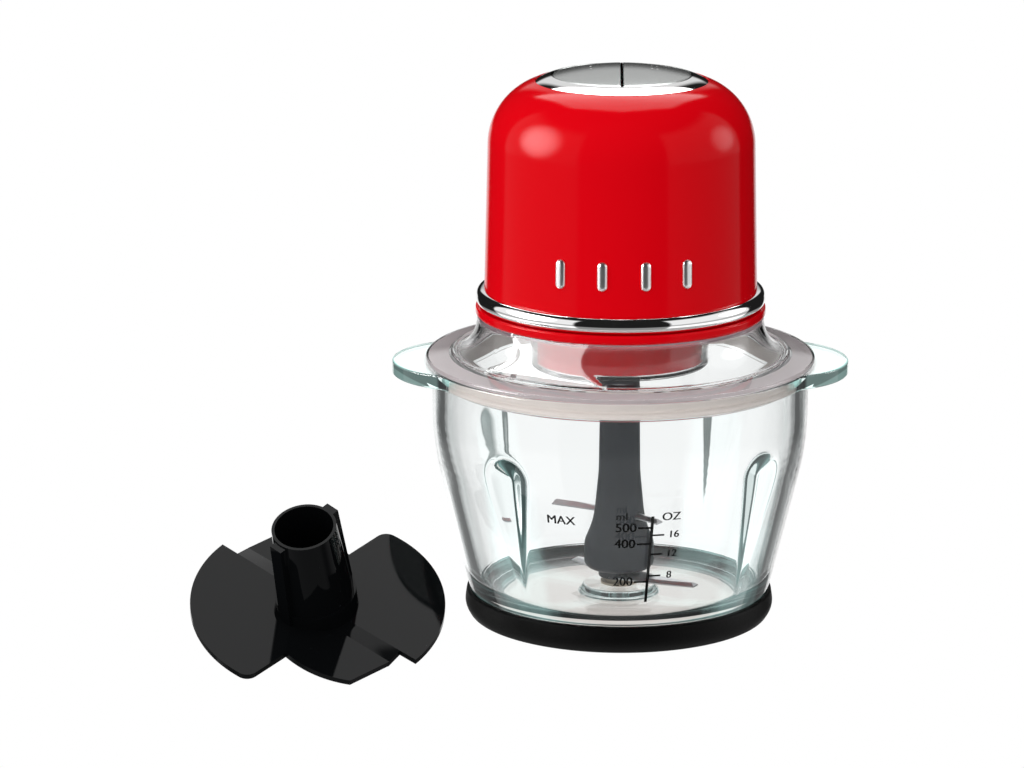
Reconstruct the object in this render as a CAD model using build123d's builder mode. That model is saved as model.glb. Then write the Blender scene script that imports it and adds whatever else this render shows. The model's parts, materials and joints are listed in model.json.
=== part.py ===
"""Electric mini chopper, in millimetres, +Z up, origin at the centre of its rubber mat.

From the table up: a rubber mat, a glass bowl with two ears, a clear lid, and a motor head
that stands on the lid. The head drives a blade hub in the bowl through one planetary
stage. An emulsifying disc that swaps with the blade lies beside the bowl.
The front of the chopper faces -Y.
"""

import math
import os

from build123d import *

os.makedirs("parts", exist_ok=True)

# Fits between pieces
slip_gap = 0.3  # between curved faces that lift apart
running_gap = 0.1  # between a shaft and its bearing

# Rubber mat
mat_floor = 3.0
mat_height = 12.5
mat_wall = 2.5
mat_flare = 1.2
mat_edge_round = 2.2
mat_opening_radius = 50.0
mat_groove_radius = 55.5
mat_groove_width = 2.0
mat_groove_depth = 0.6

# Glass bowl
bowl_foot_radius = 59.8
bowl_foot_round = 2.0
bowl_base_radius = 62.5
bowl_belly_radius = 77.5
bowl_belly_height = 71.8
bowl_belly_reach = 20.8
bowl_wall = 5.0
bowl_floor = 7.0
bowl_floor_blend = 14.0
bowl_rim_overhang = 1.8
bowl_rim_height = 5.8
bowl_rim_round = 1.6
bowl_height = 105.3
ear_overhang = 14.7
ear_radius = 34.6
ear_round = 2.2
flute_count = 4
flute_angle = 50.0
flute_radius = 6.1
flute_foot_height = 23.0
flute_top_height = 70.0
flute_sink = 1.9
boss_radius = 16.5
boss_height = 3.0
boss_round = 1.8
pin_radius = 3.0
pin_depth = 4.0
pin_length = 31.0

# Clear lid
lid_wall = 2.0
lid_flange_overhang = 0.8
lid_flange = 2.3
lid_skirt_gap = 2.5
lid_skirt_wall = 2.2
lid_skirt_depth = 9.1
lid_lip_inset = 0.8
lid_lip_width = 1.2
lid_lip_height = 0.8
cone_foot_inset = 2.7
cone_top_radius = 57.5
cone_height = 17.0
cone_sag = 2.4
well_radius = 34.4
well_wall = 2.2
well_floor = 1.5
well_depth = 18.6
facet_angle = 239.0
facet_foot_cut = 6.4
facet_top_cut = 1.8
facet_ledge = 0.7
gasket_depth = 7.5
gasket_groove = 1.2
gasket_seat = 1.6

# Blade
hub_top_radius = 7.9
hub_neck_radius = 8.6
hub_waist_radius = 10.5
hub_foot_radius = 14.5
hub_foot_round = 3.6
hub_rounds = (9.0, 30.0, 60.0)
hub_neck_height = 46.7
hub_waist_height = 26.4
hub_shoulder_height = 16.7
hub_body_height = 5.7
hub_rise = 9.0
hub_collar_radius = 8.5
hub_hex_flats = 12.6
hub_hex_height = 7.0
bush_wall = 2.4
bush_flange = 1.0
bush_flange_radius = 7.6
bush_cover = 2.0
blade_thickness = 1.6
blade_root_width = 13.0
blade_tip_width = 4.0
blade_edge_bow = 0.12
blade_back_bow = 0.2
upper_blade_height = 28.0
upper_blade_reach = (30.4, 22.0)
upper_blade_angle = (159.0, 324.0)
lower_blade_height = 2.6
lower_blade_reach = (36.7, 27.0)
lower_blade_angle = (331.0, 138.0)

# Motor head
skirt_radius = 59.6
skirt_height = 5.4
head_floor = 3.2
spigot_gap = 0.2
spigot_wall = 2.6
spigot_height = 9.0
head_boss_gap = 0.5
head_boss_wall = 2.4
trim_height = 5.5
trim_bulge = 3.4
trim_overlap = 0.6
dome_radius = 56.0
dome_shoulder_radius = 54.6
dome_shoulder_round = 27.55
dome_shoulder_drop = 32.0
dome_wall = 2.6
crown_radius = 113.0
bezel_width = 6.7
bezel_flange = 2.4
bezel_ledge = 1.6
bezel_tube_wall = 2.3
bezel_tube_depth = 7.4
button_radius = 28.4
button_split = 0.8
button_wall = 2.2
button_lug = 1.6
button_lug_height = 1.6
button_travel = 2.0
bezel_crown = 0.3
plunger_radius = 2.5
plunger_length = 10.0
plunger_place = (14.0, -8.0)
spring_place = (14.0, 9.0)
spring_radius = 4.0
spring_wire = 0.8
spring_turns = 5
bar_count = 4
bar_height = 12.0
bar_width = 4.2
bar_depth = 1.6
bar_sink = 1.0
bar_pitch = 17.4
bar_rise = 16.2
bushing_radius = 6.0
bushing_bore = 3.4
bushing_flange_radius = 7.6
bushing_flange = 1.4
bushing_length = 5.0
bushing_rise = 11.0

# Screws
screw_count = 4
screw_angle = 45.0
screw_inset = 4.1
screw_radius = 1.5
screw_head_radius = 2.9
screw_head_height = 2.2
screw_pillar_radius = 5.0
screw_pillar_height = 12.2
dome_pillar_height = 15.0
pillar_web = 16.0
screw_recess = 5.4
screw_length = 22.0
cover_screw_count = 3
cover_screw_angle = 30.0
cover_screw_inset = 2.8
cover_screw_radius = 1.2

# Planetary stage
gear_module = 1.0
pressure_angle = 25.0
sun_teeth = 15
planet_teeth = 21
planet_count = 3
gear_addendum = 0.85
gear_dedendum = 1.1
gear_backlash = 0.15
gear_width = 8.0
gear_side_gap = 0.5
ring_wall = 6.4
ring_pedestal_gap = 0.9
carrier_thickness = 3.0
carrier_rim = 8.0
planet_pin_radius = 2.0
output_shaft_radius = 4.5
output_bush_wall = 3.0
coupling_radius = 11.0
coupling_recess = 0.6

# Motor
shaft_radius = 3.0
cover_thickness = 2.6
bearing_wall = 4.5
bearing_length = 6.0
bearing_boss_wall = 2.2
fan_radius = 20.5
fan_disc = 1.2
fan_hub_radius = 6.0
fan_blade_count = 8
fan_blade_height = 4.2
fan_blade_thickness = 1.0
fan_gap = 1.2
stator_gap = 5.0
stator_length = 26.0
stator_width = 58.0
stator_depth = 54.0
stator_corner = 8.0
air_gap = 0.6
armature_radius = 14.7
armature_slots = 8
armature_slot_width = 2.4
armature_slot_depth = 3.0
winding_radius = 12.5
winding_length = 4.0
coil_width = 40.0
coil_bar = 6.0
coil_depth = 5.0
coil_offset = 19.0
coil_overhang = 4.5
commutator_radius = 9.5
commutator_length = 7.0
commutator_gap = 1.0
brush_width = 4.6
brush_length = 8.0
holder_wall = 1.2
bracket_thickness = 3.0
bracket_length = 60.0
bracket_depth = 22.0
bracket_gap = 2.0
post_circle = 25.0
post_radius = 3.0
board_post_height = 5.0
board_radius = 36.0
board_thickness = 1.6
switch_width = 12.8
switch_depth = 5.8
switch_height = 6.0
switch_tip_radius = 1.2
switch_tip_height = 0.7
switch_play = 0.3

# Emulsifying disc
disc_centre = (-122.9, -63.9)
disc_tilt = 26.2
disc_lean = -5.5
disc_joint_angle = 37.8
disc_slant = 8.3
disc_slant_angle = 235.7
disc_radius = 51.4
disc_thickness = 2.4
disc_step = 1.6
disc_web = 6.6
disc_overlap = 0.4
disc_lobe_end = 7.6
disc_corner = 5.0
disc_notch = (-9.5, 30.4)
disc_tip = (-38.7, 25.2)
disc_tip_bow = 2.6
disc_low_corner = 43.2
disc_stub_radius = 14.0
disc_tube_height = 42.7
disc_tube_top_radius = 13.0
disc_tube_foot_radius = 15.2
disc_tube_wall = 1.2
disc_collar_radius = 16.5
disc_collar_height = 7.0
disc_key_angle = 84.0
disc_key_width = 6.2
disc_key_top_reach = 15.7
disc_key_foot_reach = 17.6
disc_key_drop = 0.6

# Levels worked out from the sizes above
bowl_bottom = mat_floor
bowl_step = mat_height + slip_gap
bowl_rim_top = bowl_bottom + bowl_height
bowl_rim_bottom = bowl_rim_top - bowl_rim_height
bowl_floor_top = bowl_bottom + bowl_floor
boss_top = bowl_floor_top + boss_height
belly_corner = bowl_bottom + bowl_belly_height
bowl_slope = (bowl_belly_radius - bowl_base_radius) / (belly_corner - bowl_step)
bowl_draft = math.atan(bowl_slope)
belly_leg = 0.9 * (bowl_rim_bottom - belly_corner)
bowl_belly_blend = min(bowl_belly_reach, belly_leg) / math.tan(bowl_draft / 2)
bowl_rim_radius = bowl_belly_radius + bowl_rim_overhang
ear_reach = bowl_rim_radius + ear_overhang
pin_bottom = boss_top - pin_depth - boss_height
pin_top = boss_top + pin_length - pin_depth
bush_length = pin_length - pin_depth + bush_cover
bowl_inner_radius = bowl_belly_radius - bowl_wall
lid_skirt_radius = bowl_inner_radius - lid_skirt_gap
lid_flange_radius = bowl_rim_radius + lid_flange_overhang
lid_lip_radius = lid_skirt_radius - lid_lip_inset
cone_foot_radius = lid_skirt_radius - cone_foot_inset
facet_foot = cone_foot_radius - facet_foot_cut
facet_top = cone_top_radius - facet_top_cut
flange_top = bowl_rim_top + lid_flange
deck_top = flange_top + cone_height
well_bottom = deck_top - well_depth
blade_bottom = boss_top + slip_gap
hub_bottom = blade_bottom + bush_flange + running_gap
hub_top = well_bottom + hub_rise
skirt_top = deck_top + skirt_height
floor_top = deck_top + head_floor
trim_top = skirt_top + trim_height
boss_bottom = well_bottom + slip_gap
head_boss_radius = well_radius - head_boss_gap
spigot_radius = dome_radius - dome_wall - spigot_gap
screw_circle = spigot_radius - spigot_wall - screw_inset
bezel_inner = button_radius + slip_gap
dome_opening_radius = bezel_inner + bezel_width
bar_centre_height = trim_top + bar_rise
bushing_height = trim_top + bushing_rise
pitch_sun = gear_module * sun_teeth / 2
pitch_planet = gear_module * planet_teeth / 2
ring_teeth = sun_teeth + 2 * planet_teeth
pitch_ring = gear_module * ring_teeth / 2
gear_centres = pitch_sun + pitch_planet
ring_root_radius = pitch_ring + gear_dedendum * gear_module
ring_outer_radius = ring_root_radius + ring_wall
cover_screw_circle = ring_outer_radius - cover_screw_inset
carrier_bottom = floor_top + gear_side_gap
carrier_top = carrier_bottom + carrier_thickness
gear_bottom = carrier_top + gear_side_gap
gear_top = gear_bottom + gear_width
cover_bottom = gear_top + 2 * gear_side_gap
cover_top = cover_bottom + cover_thickness
pedestal_top = gear_bottom - gear_side_gap / 2
bearing_bottom = cover_bottom
bearing_top = bearing_bottom + bearing_length
fan_bottom = bearing_top + fan_gap
fan_top = fan_bottom + fan_disc + fan_blade_height
stator_bottom = fan_top + stator_gap
stator_top = stator_bottom + stator_length
winding_bottom = stator_bottom - winding_length
commutator_bottom = stator_top + winding_length + commutator_gap
commutator_top = commutator_bottom + commutator_length
bracket_bottom = commutator_top + bracket_gap
bracket_top = bracket_bottom + bracket_thickness
upper_bearing_top = bracket_bottom + bearing_length
shaft_top = upper_bearing_top + fan_gap
board_bottom = bracket_top + board_post_height
board_top = board_bottom + board_thickness
switch_tip_top = board_top + switch_height + switch_tip_height
plunger_bottom = switch_tip_top + button_travel + switch_play
crown_height = plunger_bottom + plunger_length
crown_centre = crown_height - crown_radius
dome_shoulder_height = crown_height - dome_shoulder_drop
dome_taper_height = dome_shoulder_height - trim_top


def crown_z(radius, inset=0.0):
    """Height of the crown sphere at a radius, for the skin or a surface inside it."""
    return crown_centre + math.sqrt((crown_radius - inset) ** 2 - radius**2)


def write(piece, name):
    """Labels a finished piece and writes its file."""
    piece.part.label = name
    export_step(piece.part, f"parts/{name}.step")


def round_block(radius, bottom, top, bore=0.0):
    """A turned ring or disc about the Z axis."""
    with BuildPart() as block:
        with BuildSketch(Plane.XY.offset(bottom)):
            Circle(radius)
            if bore:
                Circle(bore, mode=Mode.SUBTRACT)
        extrude(amount=top - bottom)
    return block


# Rubber mat, a ring that grips the foot of the bowl and is open in the middle
mat_inner_radius = bowl_foot_radius + slip_gap
mat_outer_radius = mat_inner_radius + mat_wall
mat_lip_round = 0.3 * mat_wall
with BuildPart() as base_mat:
    with BuildSketch(Plane.XZ):
        with BuildLine():
            mat_outline = FilletPolyline(
                (mat_opening_radius, 0),
                (mat_outer_radius + mat_flare, 0),
                (mat_outer_radius, mat_height),
                (mat_inner_radius, mat_height),
                (mat_inner_radius, mat_floor),
                (mat_opening_radius, mat_floor),
                radius=[mat_edge_round, mat_lip_round, mat_lip_round, mat_lip_round],
            )
            Line(mat_outline @ 1, mat_outline @ 0)
        make_face()
    revolve(axis=Axis.Z)
    with BuildSketch(Plane.XY):
        Circle(mat_groove_radius + mat_groove_width / 2)
        Circle(mat_groove_radius - mat_groove_width / 2, mode=Mode.SUBTRACT)
    extrude(amount=mat_groove_depth, mode=Mode.SUBTRACT)
write(base_mat, "base_mat")

# Outer form of the bowl with its ears, which the hollow is then cut from
with BuildPart() as bowl_form:
    with BuildSketch(Plane.XZ):
        with BuildLine():
            foot = FilletPolyline(
                (0, bowl_bottom),
                (bowl_foot_radius, bowl_bottom),
                (bowl_foot_radius, bowl_step),
                radius=bowl_foot_round,
            )
            Line(foot @ 1, (bowl_base_radius, bowl_step))
            FilletPolyline(
                (bowl_base_radius, bowl_step),
                (bowl_belly_radius, belly_corner),
                (bowl_belly_radius, bowl_rim_bottom),
                radius=bowl_belly_blend,
            )
            rim = FilletPolyline(
                (bowl_belly_radius, bowl_rim_bottom),
                (bowl_rim_radius, bowl_rim_bottom),
                (bowl_rim_radius, bowl_rim_top),
                (0, bowl_rim_top),
                radius=min(bowl_rim_round, 0.9 * bowl_rim_overhang),
            )
            Line(rim @ 1, foot @ 0)
        make_face()
    revolve(axis=Axis.Z)

with BuildPart() as ears:
    with BuildSketch(Plane.XY.offset(bowl_rim_bottom)):
        with Locations((ear_reach - ear_radius, 0), (ear_radius - ear_reach, 0)):
            Circle(ear_radius)
    extrude(amount=bowl_rim_height)
    fillet(ears.edges().filter_by(GeomType.CIRCLE), min(ear_round, 0.45 * bowl_rim_height))

# Four ribs inside the wall, which lean so that they fade out at their foot
rib_slope = bowl_draft / 2
rib_top_radius = bowl_inner_radius - flute_sink
with BuildPart() as ribs:
    rib_axis = (math.sin(rib_slope), 0, math.cos(rib_slope))
    rib_length = (flute_top_height - flute_foot_height) / rib_axis[2]
    rib_top = Vector(rib_top_radius, 0, bowl_floor_top + flute_top_height)
    rib_foot = rib_top - Vector(*rib_axis) * rib_length
    rib_plane = Plane(origin=rib_foot, x_dir=(0, 1, 0), z_dir=rib_axis)
    with BuildSketch(rib_plane):
        Circle(flute_radius)
    extrude(amount=rib_length)
    with Locations(rib_top):
        Sphere(flute_radius)

hollow_foot = bowl_base_radius - bowl_wall / math.cos(bowl_draft)
hollow_foot_radius = hollow_foot + (bowl_floor_top - bowl_step) * bowl_slope
hollow_corner = bowl_step + (bowl_inner_radius - hollow_foot) / bowl_slope
with BuildPart() as bowl_hollow:
    with BuildSketch(Plane.XZ):
        with BuildLine():
            hollow = FilletPolyline(
                (0, bowl_floor_top),
                (hollow_foot_radius, bowl_floor_top),
                (bowl_inner_radius, hollow_corner),
                (bowl_inner_radius, bowl_rim_top + 1),
                radius=[bowl_floor_blend, bowl_belly_blend - bowl_wall],
            )
            Line(hollow @ 1, (0, bowl_rim_top + 1))
            Line((0, bowl_rim_top + 1), hollow @ 0)
        make_face()
    revolve(axis=Axis.Z)
    with PolarLocations(0, flute_count, start_angle=flute_angle):
        add(ribs.part, mode=Mode.SUBTRACT)
    with BuildSketch(Plane.XY.offset(bowl_floor_top)):
        Circle(boss_radius)
    extrude(amount=boss_height, mode=Mode.SUBTRACT)

with BuildPart() as glass_bowl:
    add(bowl_form.part)
    add(ears.part)
    add(bowl_hollow.part, mode=Mode.SUBTRACT)
    boss_rim = (
        glass_bowl.edges()
        .filter_by(GeomType.CIRCLE)
        .filter_by(lambda edge: abs(edge.radius - boss_radius) < 0.01)
        .filter_by(lambda edge: abs(edge.center().Z - boss_top) < 0.01)
    )
    fillet(boss_rim, min(boss_round, 0.6 * boss_height))
    with BuildSketch(Plane.XY.offset(pin_bottom)):
        Circle(pin_radius)
    extrude(amount=bowl_height, mode=Mode.SUBTRACT)
write(glass_bowl, "glass_bowl")

# Steel pin that the blade turns on, pressed into the boss
with BuildPart() as pivot_pin:
    with BuildSketch(Plane.XY.offset(pin_bottom)):
        Circle(pin_radius)
    extrude(amount=pin_top - pin_bottom)
    fillet(pivot_pin.edges().group_by(Axis.Z)[-1], 0.4 * pin_radius)
write(pivot_pin, "pivot_pin")


def facet_cut(inset):
    """Two flat-cut wedges, one each side of the flared cone, moved in by an inset."""
    foot = facet_foot - inset
    top = facet_top - inset
    ledge = flange_top + facet_ledge - inset
    reach = lid_flange_radius
    lean = (facet_foot - facet_top) / (deck_top - flange_top - facet_ledge)
    over = deck_top + lid_wall
    with BuildPart() as wedge:
        with BuildSketch(Plane.XZ):
            with BuildLine():
                Polyline(
                    (foot, ledge),
                    (reach, ledge),
                    (reach, over),
                    (top - lean * (over - deck_top), over),
                    close=True,
                )
            make_face()
        extrude(amount=reach, both=True)
    with BuildPart() as pair:
        with PolarLocations(0, 2, start_angle=facet_angle):
            add(wedge.part)
    return pair


# Space under the lid, bounded by the skirt, the cone, the deck and the well
skirt_bottom = bowl_rim_top - lid_skirt_depth
skirt_inner_radius = lid_skirt_radius - lid_skirt_wall
well_outer_radius = well_radius + well_wall
with BuildPart() as lid_hollow:
    with BuildSketch(Plane.XZ):
        with BuildLine():
            under_foot = (cone_foot_radius - lid_wall, bowl_rim_top)
            under_top = (cone_top_radius - lid_wall, deck_top - lid_wall)
            Polyline((0, skirt_bottom), (skirt_inner_radius, skirt_bottom))
            Line((skirt_inner_radius, skirt_bottom), (skirt_inner_radius, bowl_rim_top))
            Line((skirt_inner_radius, bowl_rim_top), under_foot)
            SagittaArc(under_foot, under_top, cone_sag)
            Polyline(under_top, (0, deck_top - lid_wall), (0, skirt_bottom))
        make_face()
    revolve(axis=Axis.Z)
    add(facet_cut(lid_wall).part, mode=Mode.SUBTRACT)
    with BuildSketch(Plane.XY.offset(well_bottom - well_floor)):
        Circle(well_outer_radius)
    extrude(amount=well_depth + well_floor, mode=Mode.SUBTRACT)

with BuildPart() as lid:
    with BuildSketch(Plane.XZ):
        with BuildLine():
            cone_foot = (cone_foot_radius, flange_top)
            cone_top = (cone_top_radius, deck_top)
            Polyline(
                (0, skirt_bottom),
                (lid_skirt_radius, skirt_bottom),
                (lid_skirt_radius, bowl_rim_top),
            )
            flange = FilletPolyline(
                (lid_skirt_radius, bowl_rim_top),
                (lid_flange_radius, bowl_rim_top),
                (lid_flange_radius, flange_top),
                (lid_lip_radius, flange_top),
                radius=0.45 * lid_flange,
            )
            Polyline(
                flange @ 1,
                (lid_lip_radius, flange_top + lid_lip_height),
                (lid_lip_radius - lid_lip_width, flange_top + lid_lip_height),
                (lid_lip_radius - lid_lip_width, flange_top),
                cone_foot,
            )
            SagittaArc(cone_foot, cone_top, cone_sag)
            Polyline(cone_top, (0, deck_top), (0, skirt_bottom))
        make_face()
    revolve(axis=Axis.Z)
    add(facet_cut(0).part, mode=Mode.SUBTRACT)
    add(lid_hollow.part, mode=Mode.SUBTRACT)
    with BuildSketch(Plane.XY.offset(well_bottom)):
        Circle(well_radius)
    extrude(amount=well_depth, mode=Mode.SUBTRACT)
    with BuildSketch(Plane.XY.offset(skirt_bottom)):
        Circle(hub_top_radius + slip_gap)
    extrude(amount=deck_top - skirt_bottom, mode=Mode.SUBTRACT)
write(lid, "lid")

# Silicone band with two sealing lips, held round the skirt of the lid
gasket_radius = bowl_inner_radius - slip_gap
gasket_top = bowl_rim_top - gasket_seat
with BuildPart() as lid_gasket:
    with BuildSketch(Plane.XZ):
        with BuildLine():
            groove_radius = lid_skirt_radius + 0.45 * (gasket_radius - lid_skirt_radius)
            gasket_bottom = gasket_top - gasket_depth
            gasket_middle = (gasket_top + gasket_bottom) / 2
            Polyline(
                (lid_skirt_radius, gasket_bottom),
                (gasket_radius, gasket_bottom),
                (gasket_radius, gasket_middle - gasket_groove),
                (groove_radius, gasket_middle),
                (gasket_radius, gasket_middle + gasket_groove),
                (gasket_radius, gasket_top),
                (lid_skirt_radius, gasket_top),
                close=True,
            )
        make_face()
    revolve(axis=Axis.Z)
write(lid_gasket, "lid_gasket")


def blade(height, reaches, angles):
    """A flat two-winged knife with swept, pointed wings, bored for the bush."""
    with BuildPart() as knife:
        with BuildSketch(Plane.XY.offset(hub_bottom + height)):
            Circle(blade_root_width / 2 + 1)
            for reach, angle in zip(reaches, angles):
                half = blade_root_width / 2
                along = Vector(1, 0, 0).rotate(Axis.Z, angle)
                across = Vector(0, 1, 0).rotate(Axis.Z, angle)
                tip = along * reach
                with BuildLine():
                    heel = tip - across * blade_tip_width
                    cutting = SagittaArc(across * -half, heel, blade_edge_bow * reach)
                    back = SagittaArc(across * half, tip, blade_back_bow * reach)
                    Line(cutting @ 1, back @ 1)
                    Line(cutting @ 0, back @ 0)
                make_face()
            Circle(bush_radius, mode=Mode.SUBTRACT)
        extrude(amount=blade_thickness)
    return knife


# Blade: a moulded hub over a bearing bush, with two knives set in it
bush_radius = pin_radius + running_gap + bush_wall
upper_blade = blade(upper_blade_height, upper_blade_reach, upper_blade_angle)
write(upper_blade, "upper_blade")
lower_blade = blade(lower_blade_height, lower_blade_reach, lower_blade_angle)
write(lower_blade, "lower_blade")

with BuildPart() as blade_hub:
    with BuildSketch(Plane.XZ):
        with BuildLine():
            body_bottom = hub_bottom + hub_body_height
            Polyline(
                (0, hub_bottom),
                (hub_collar_radius, hub_bottom),
                (hub_collar_radius, body_bottom),
            )
            side = FilletPolyline(
                (hub_collar_radius, body_bottom),
                (hub_foot_radius, body_bottom),
                (hub_foot_radius, hub_bottom + hub_shoulder_height),
                (hub_waist_radius, hub_bottom + hub_waist_height),
                (hub_neck_radius, hub_bottom + hub_neck_height),
                (hub_top_radius, hub_top),
                radius=[hub_foot_round, *hub_rounds],
            )
            Polyline(side @ 1, (0, hub_top), (0, hub_bottom))
        make_face()
    revolve(axis=Axis.Z)
    with BuildSketch(Plane.XY.offset(hub_top - hub_hex_height)):
        Circle(hub_top_radius + 1)
        RegularPolygon(hub_hex_flats / 2, 6, major_radius=False, mode=Mode.SUBTRACT)
    extrude(amount=hub_hex_height, mode=Mode.SUBTRACT)
    with BuildSketch(Plane.XY.offset(hub_bottom)):
        Circle(bush_radius + running_gap)
    extrude(amount=bush_length, mode=Mode.SUBTRACT)
    add(upper_blade.part, mode=Mode.SUBTRACT)
    add(lower_blade.part, mode=Mode.SUBTRACT)
write(blade_hub, "blade_hub")

# Bearing bush that stays on the pin while the hub turns round it
with BuildPart() as blade_bush:
    with BuildSketch(Plane.XY.offset(blade_bottom)):
        Circle(bush_flange_radius)
    extrude(amount=bush_flange)
    with BuildSketch(Plane.XY.offset(blade_bottom)):
        Circle(bush_radius)
    extrude(amount=bush_length)
    with BuildSketch(Plane.XY.offset(blade_bottom)):
        Circle(pin_radius + running_gap)
    extrude(amount=bush_length, mode=Mode.SUBTRACT)
write(blade_bush, "blade_bush")

# Lower half of the head: skirt, floor, spigot, gear pedestal and the boss in the well
boss_inner_radius = head_boss_radius - head_boss_wall
output_bush_radius = output_shaft_radius + running_gap + output_bush_wall
output_bush_bottom = floor_top - 2 * head_floor
with BuildPart() as head_base:
    with BuildSketch(Plane.XZ):
        with BuildLine():
            skirt_round = 0.3 * skirt_height
            lower_edge = FilletPolyline(
                (head_boss_radius, deck_top),
                (skirt_radius, deck_top),
                (skirt_radius, skirt_top),
                (spigot_radius, skirt_top),
                radius=[skirt_round, 0.3 * skirt_round],
            )
            Polyline(
                lower_edge @ 1,
                (spigot_radius, skirt_top + spigot_height),
                (spigot_radius - spigot_wall, skirt_top + spigot_height),
                (spigot_radius - spigot_wall, floor_top),
                (0, floor_top),
                (0, deck_top),
                (boss_inner_radius, deck_top),
            )
            FilletPolyline(
                (boss_inner_radius, deck_top),
                (boss_inner_radius, boss_bottom),
                (head_boss_radius, boss_bottom),
                (head_boss_radius, deck_top),
                radius=0.3 * head_boss_wall,
            )
        make_face()
    revolve(axis=Axis.Z)
    with BuildSketch(Plane.XY.offset(floor_top)):
        Circle(ring_outer_radius)
        Circle(ring_root_radius + ring_pedestal_gap, mode=Mode.SUBTRACT)
        with PolarLocations(screw_circle, screw_count, start_angle=screw_angle):
            Circle(screw_pillar_radius)
    extrude(amount=pedestal_top - floor_top)
    with BuildSketch(Plane.XY.offset(floor_top)):
        with PolarLocations(screw_circle, screw_count, start_angle=screw_angle):
            Circle(screw_pillar_radius)
    extrude(amount=screw_pillar_height)
    with BuildSketch(Plane.XY.offset(output_bush_bottom)):
        Circle(output_bush_radius + output_bush_wall)
    extrude(amount=floor_top - output_bush_bottom)
    with BuildSketch(Plane.XY.offset(output_bush_bottom)):
        Circle(output_bush_radius)
    extrude(amount=floor_top - output_bush_bottom, mode=Mode.SUBTRACT)
    with BuildSketch(Plane.XY.offset(deck_top)):
        with PolarLocations(screw_circle, screw_count, start_angle=screw_angle):
            Circle(screw_head_radius + running_gap)
    extrude(amount=screw_recess, mode=Mode.SUBTRACT)
    with BuildSketch(Plane.XY.offset(deck_top)):
        with PolarLocations(screw_circle, screw_count, start_angle=screw_angle):
            Circle(screw_radius)
    extrude(amount=head_floor + screw_pillar_height, mode=Mode.SUBTRACT)
    with BuildSketch(Plane.XY.offset(floor_top)):
        with PolarLocations(cover_screw_circle, cover_screw_count, start_angle=cover_screw_angle):
            Circle(cover_screw_radius)
    extrude(amount=pedestal_top - floor_top, mode=Mode.SUBTRACT)
write(head_base, "head_base")

output_bush = round_block(
    output_bush_radius, output_bush_bottom, floor_top, output_shaft_radius + running_gap
)
write(output_bush, "output_bush")

# Chrome ring between the skirt and the dome
with BuildPart() as trim_ring:
    with BuildSketch(Plane.XZ):
        with BuildLine():
            ring_face = ThreePointArc(
                (dome_radius + trim_overlap, skirt_top),
                (dome_radius + trim_bulge, skirt_top + 0.45 * trim_height),
                (dome_radius + trim_overlap / 6, trim_top),
            )
            Polyline(ring_face @ 1, (spigot_radius, trim_top), (spigot_radius, skirt_top))
            Line((spigot_radius, skirt_top), ring_face @ 0)
        make_face()
    revolve(axis=Axis.Z)
write(trim_ring, "trim_ring")

# Dome of the head, a tapered wall, a round shoulder and a crown with an opening
shoulder_centre = dome_shoulder_radius - dome_shoulder_round
pillar_top = floor_top + screw_pillar_height
ledge_top = crown_z(dome_opening_radius) - bezel_flange


def dome_profile(inset):
    """Half outline of the dome or of its hollow, as a face about the axis."""
    shoulder = dome_shoulder_round - inset
    reach = crown_radius - inset
    gap_r = shoulder_centre
    gap_z = dome_shoulder_height - crown_centre
    lean = math.atan2(gap_r, gap_z)
    meet = (reach * math.sin(lean), crown_centre + reach * math.cos(lean))
    half = (math.pi / 2 - lean) / 2
    middle = (
        shoulder_centre + shoulder * math.cos(half),
        dome_shoulder_height + shoulder * math.sin(half),
    )
    blend = (
        shoulder_centre + shoulder * math.sin(lean),
        dome_shoulder_height + shoulder * math.cos(lean),
    )
    with BuildSketch(Plane.XZ) as half_face:
        with BuildLine():
            Line((0, trim_top), (dome_radius - inset, trim_top))
            Line(
                (dome_radius - inset, trim_top),
                (dome_shoulder_radius - inset, dome_shoulder_height),
            )
            ThreePointArc(
                (dome_shoulder_radius - inset, dome_shoulder_height), middle, blend
            )
            over = ThreePointArc(
                blend,
                (
                    reach * math.sin(lean / 2),
                    crown_centre + reach * math.cos(lean / 2),
                ),
                (0, crown_centre + reach),
            )
            Line(over @ 1, (0, trim_top))
        make_face()
    return half_face


with BuildPart() as dome_hollow:
    add(dome_profile(dome_wall).sketch)
    revolve(axis=Axis.Z)
    with BuildSketch(Plane.XY.offset(pillar_top)):
        with PolarLocations(dome_radius - pillar_web / 2, screw_count, start_angle=screw_angle):
            SlotOverall(pillar_web, 2 * screw_pillar_radius)
    extrude(amount=dome_pillar_height, mode=Mode.SUBTRACT)
    with BuildSketch(Plane.XY.offset(ledge_top - bezel_ledge)):
        Circle(dome_opening_radius + dome_wall)
    extrude(amount=crown_radius, mode=Mode.SUBTRACT)

with BuildPart() as dome_form:
    add(dome_profile(0).sketch)
    revolve(axis=Axis.Z)

with BuildPart() as dome_housing:
    add(dome_form.part)
    add(dome_hollow.part, mode=Mode.SUBTRACT)
    with BuildSketch(Plane.XY.offset(ledge_top)):
        Circle(dome_opening_radius)
    extrude(amount=crown_radius, mode=Mode.SUBTRACT)
    with BuildSketch(Plane.XY.offset(ledge_top - 2 * bezel_ledge)):
        Circle(bezel_inner + bezel_tube_wall)
    extrude(amount=crown_radius, mode=Mode.SUBTRACT)
    with BuildSketch(Plane.XY.offset(pillar_top)):
        with PolarLocations(screw_circle, screw_count, start_angle=screw_angle):
            Circle(screw_radius)
    extrude(amount=0.8 * dome_pillar_height, mode=Mode.SUBTRACT)
    with BuildSketch(Plane.XZ.offset(-dome_radius / 2)):
        with Locations((0, bushing_height)):
            Circle(bushing_radius)
    extrude(amount=-dome_radius, mode=Mode.SUBTRACT)
write(dome_housing, "dome_housing")

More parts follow.
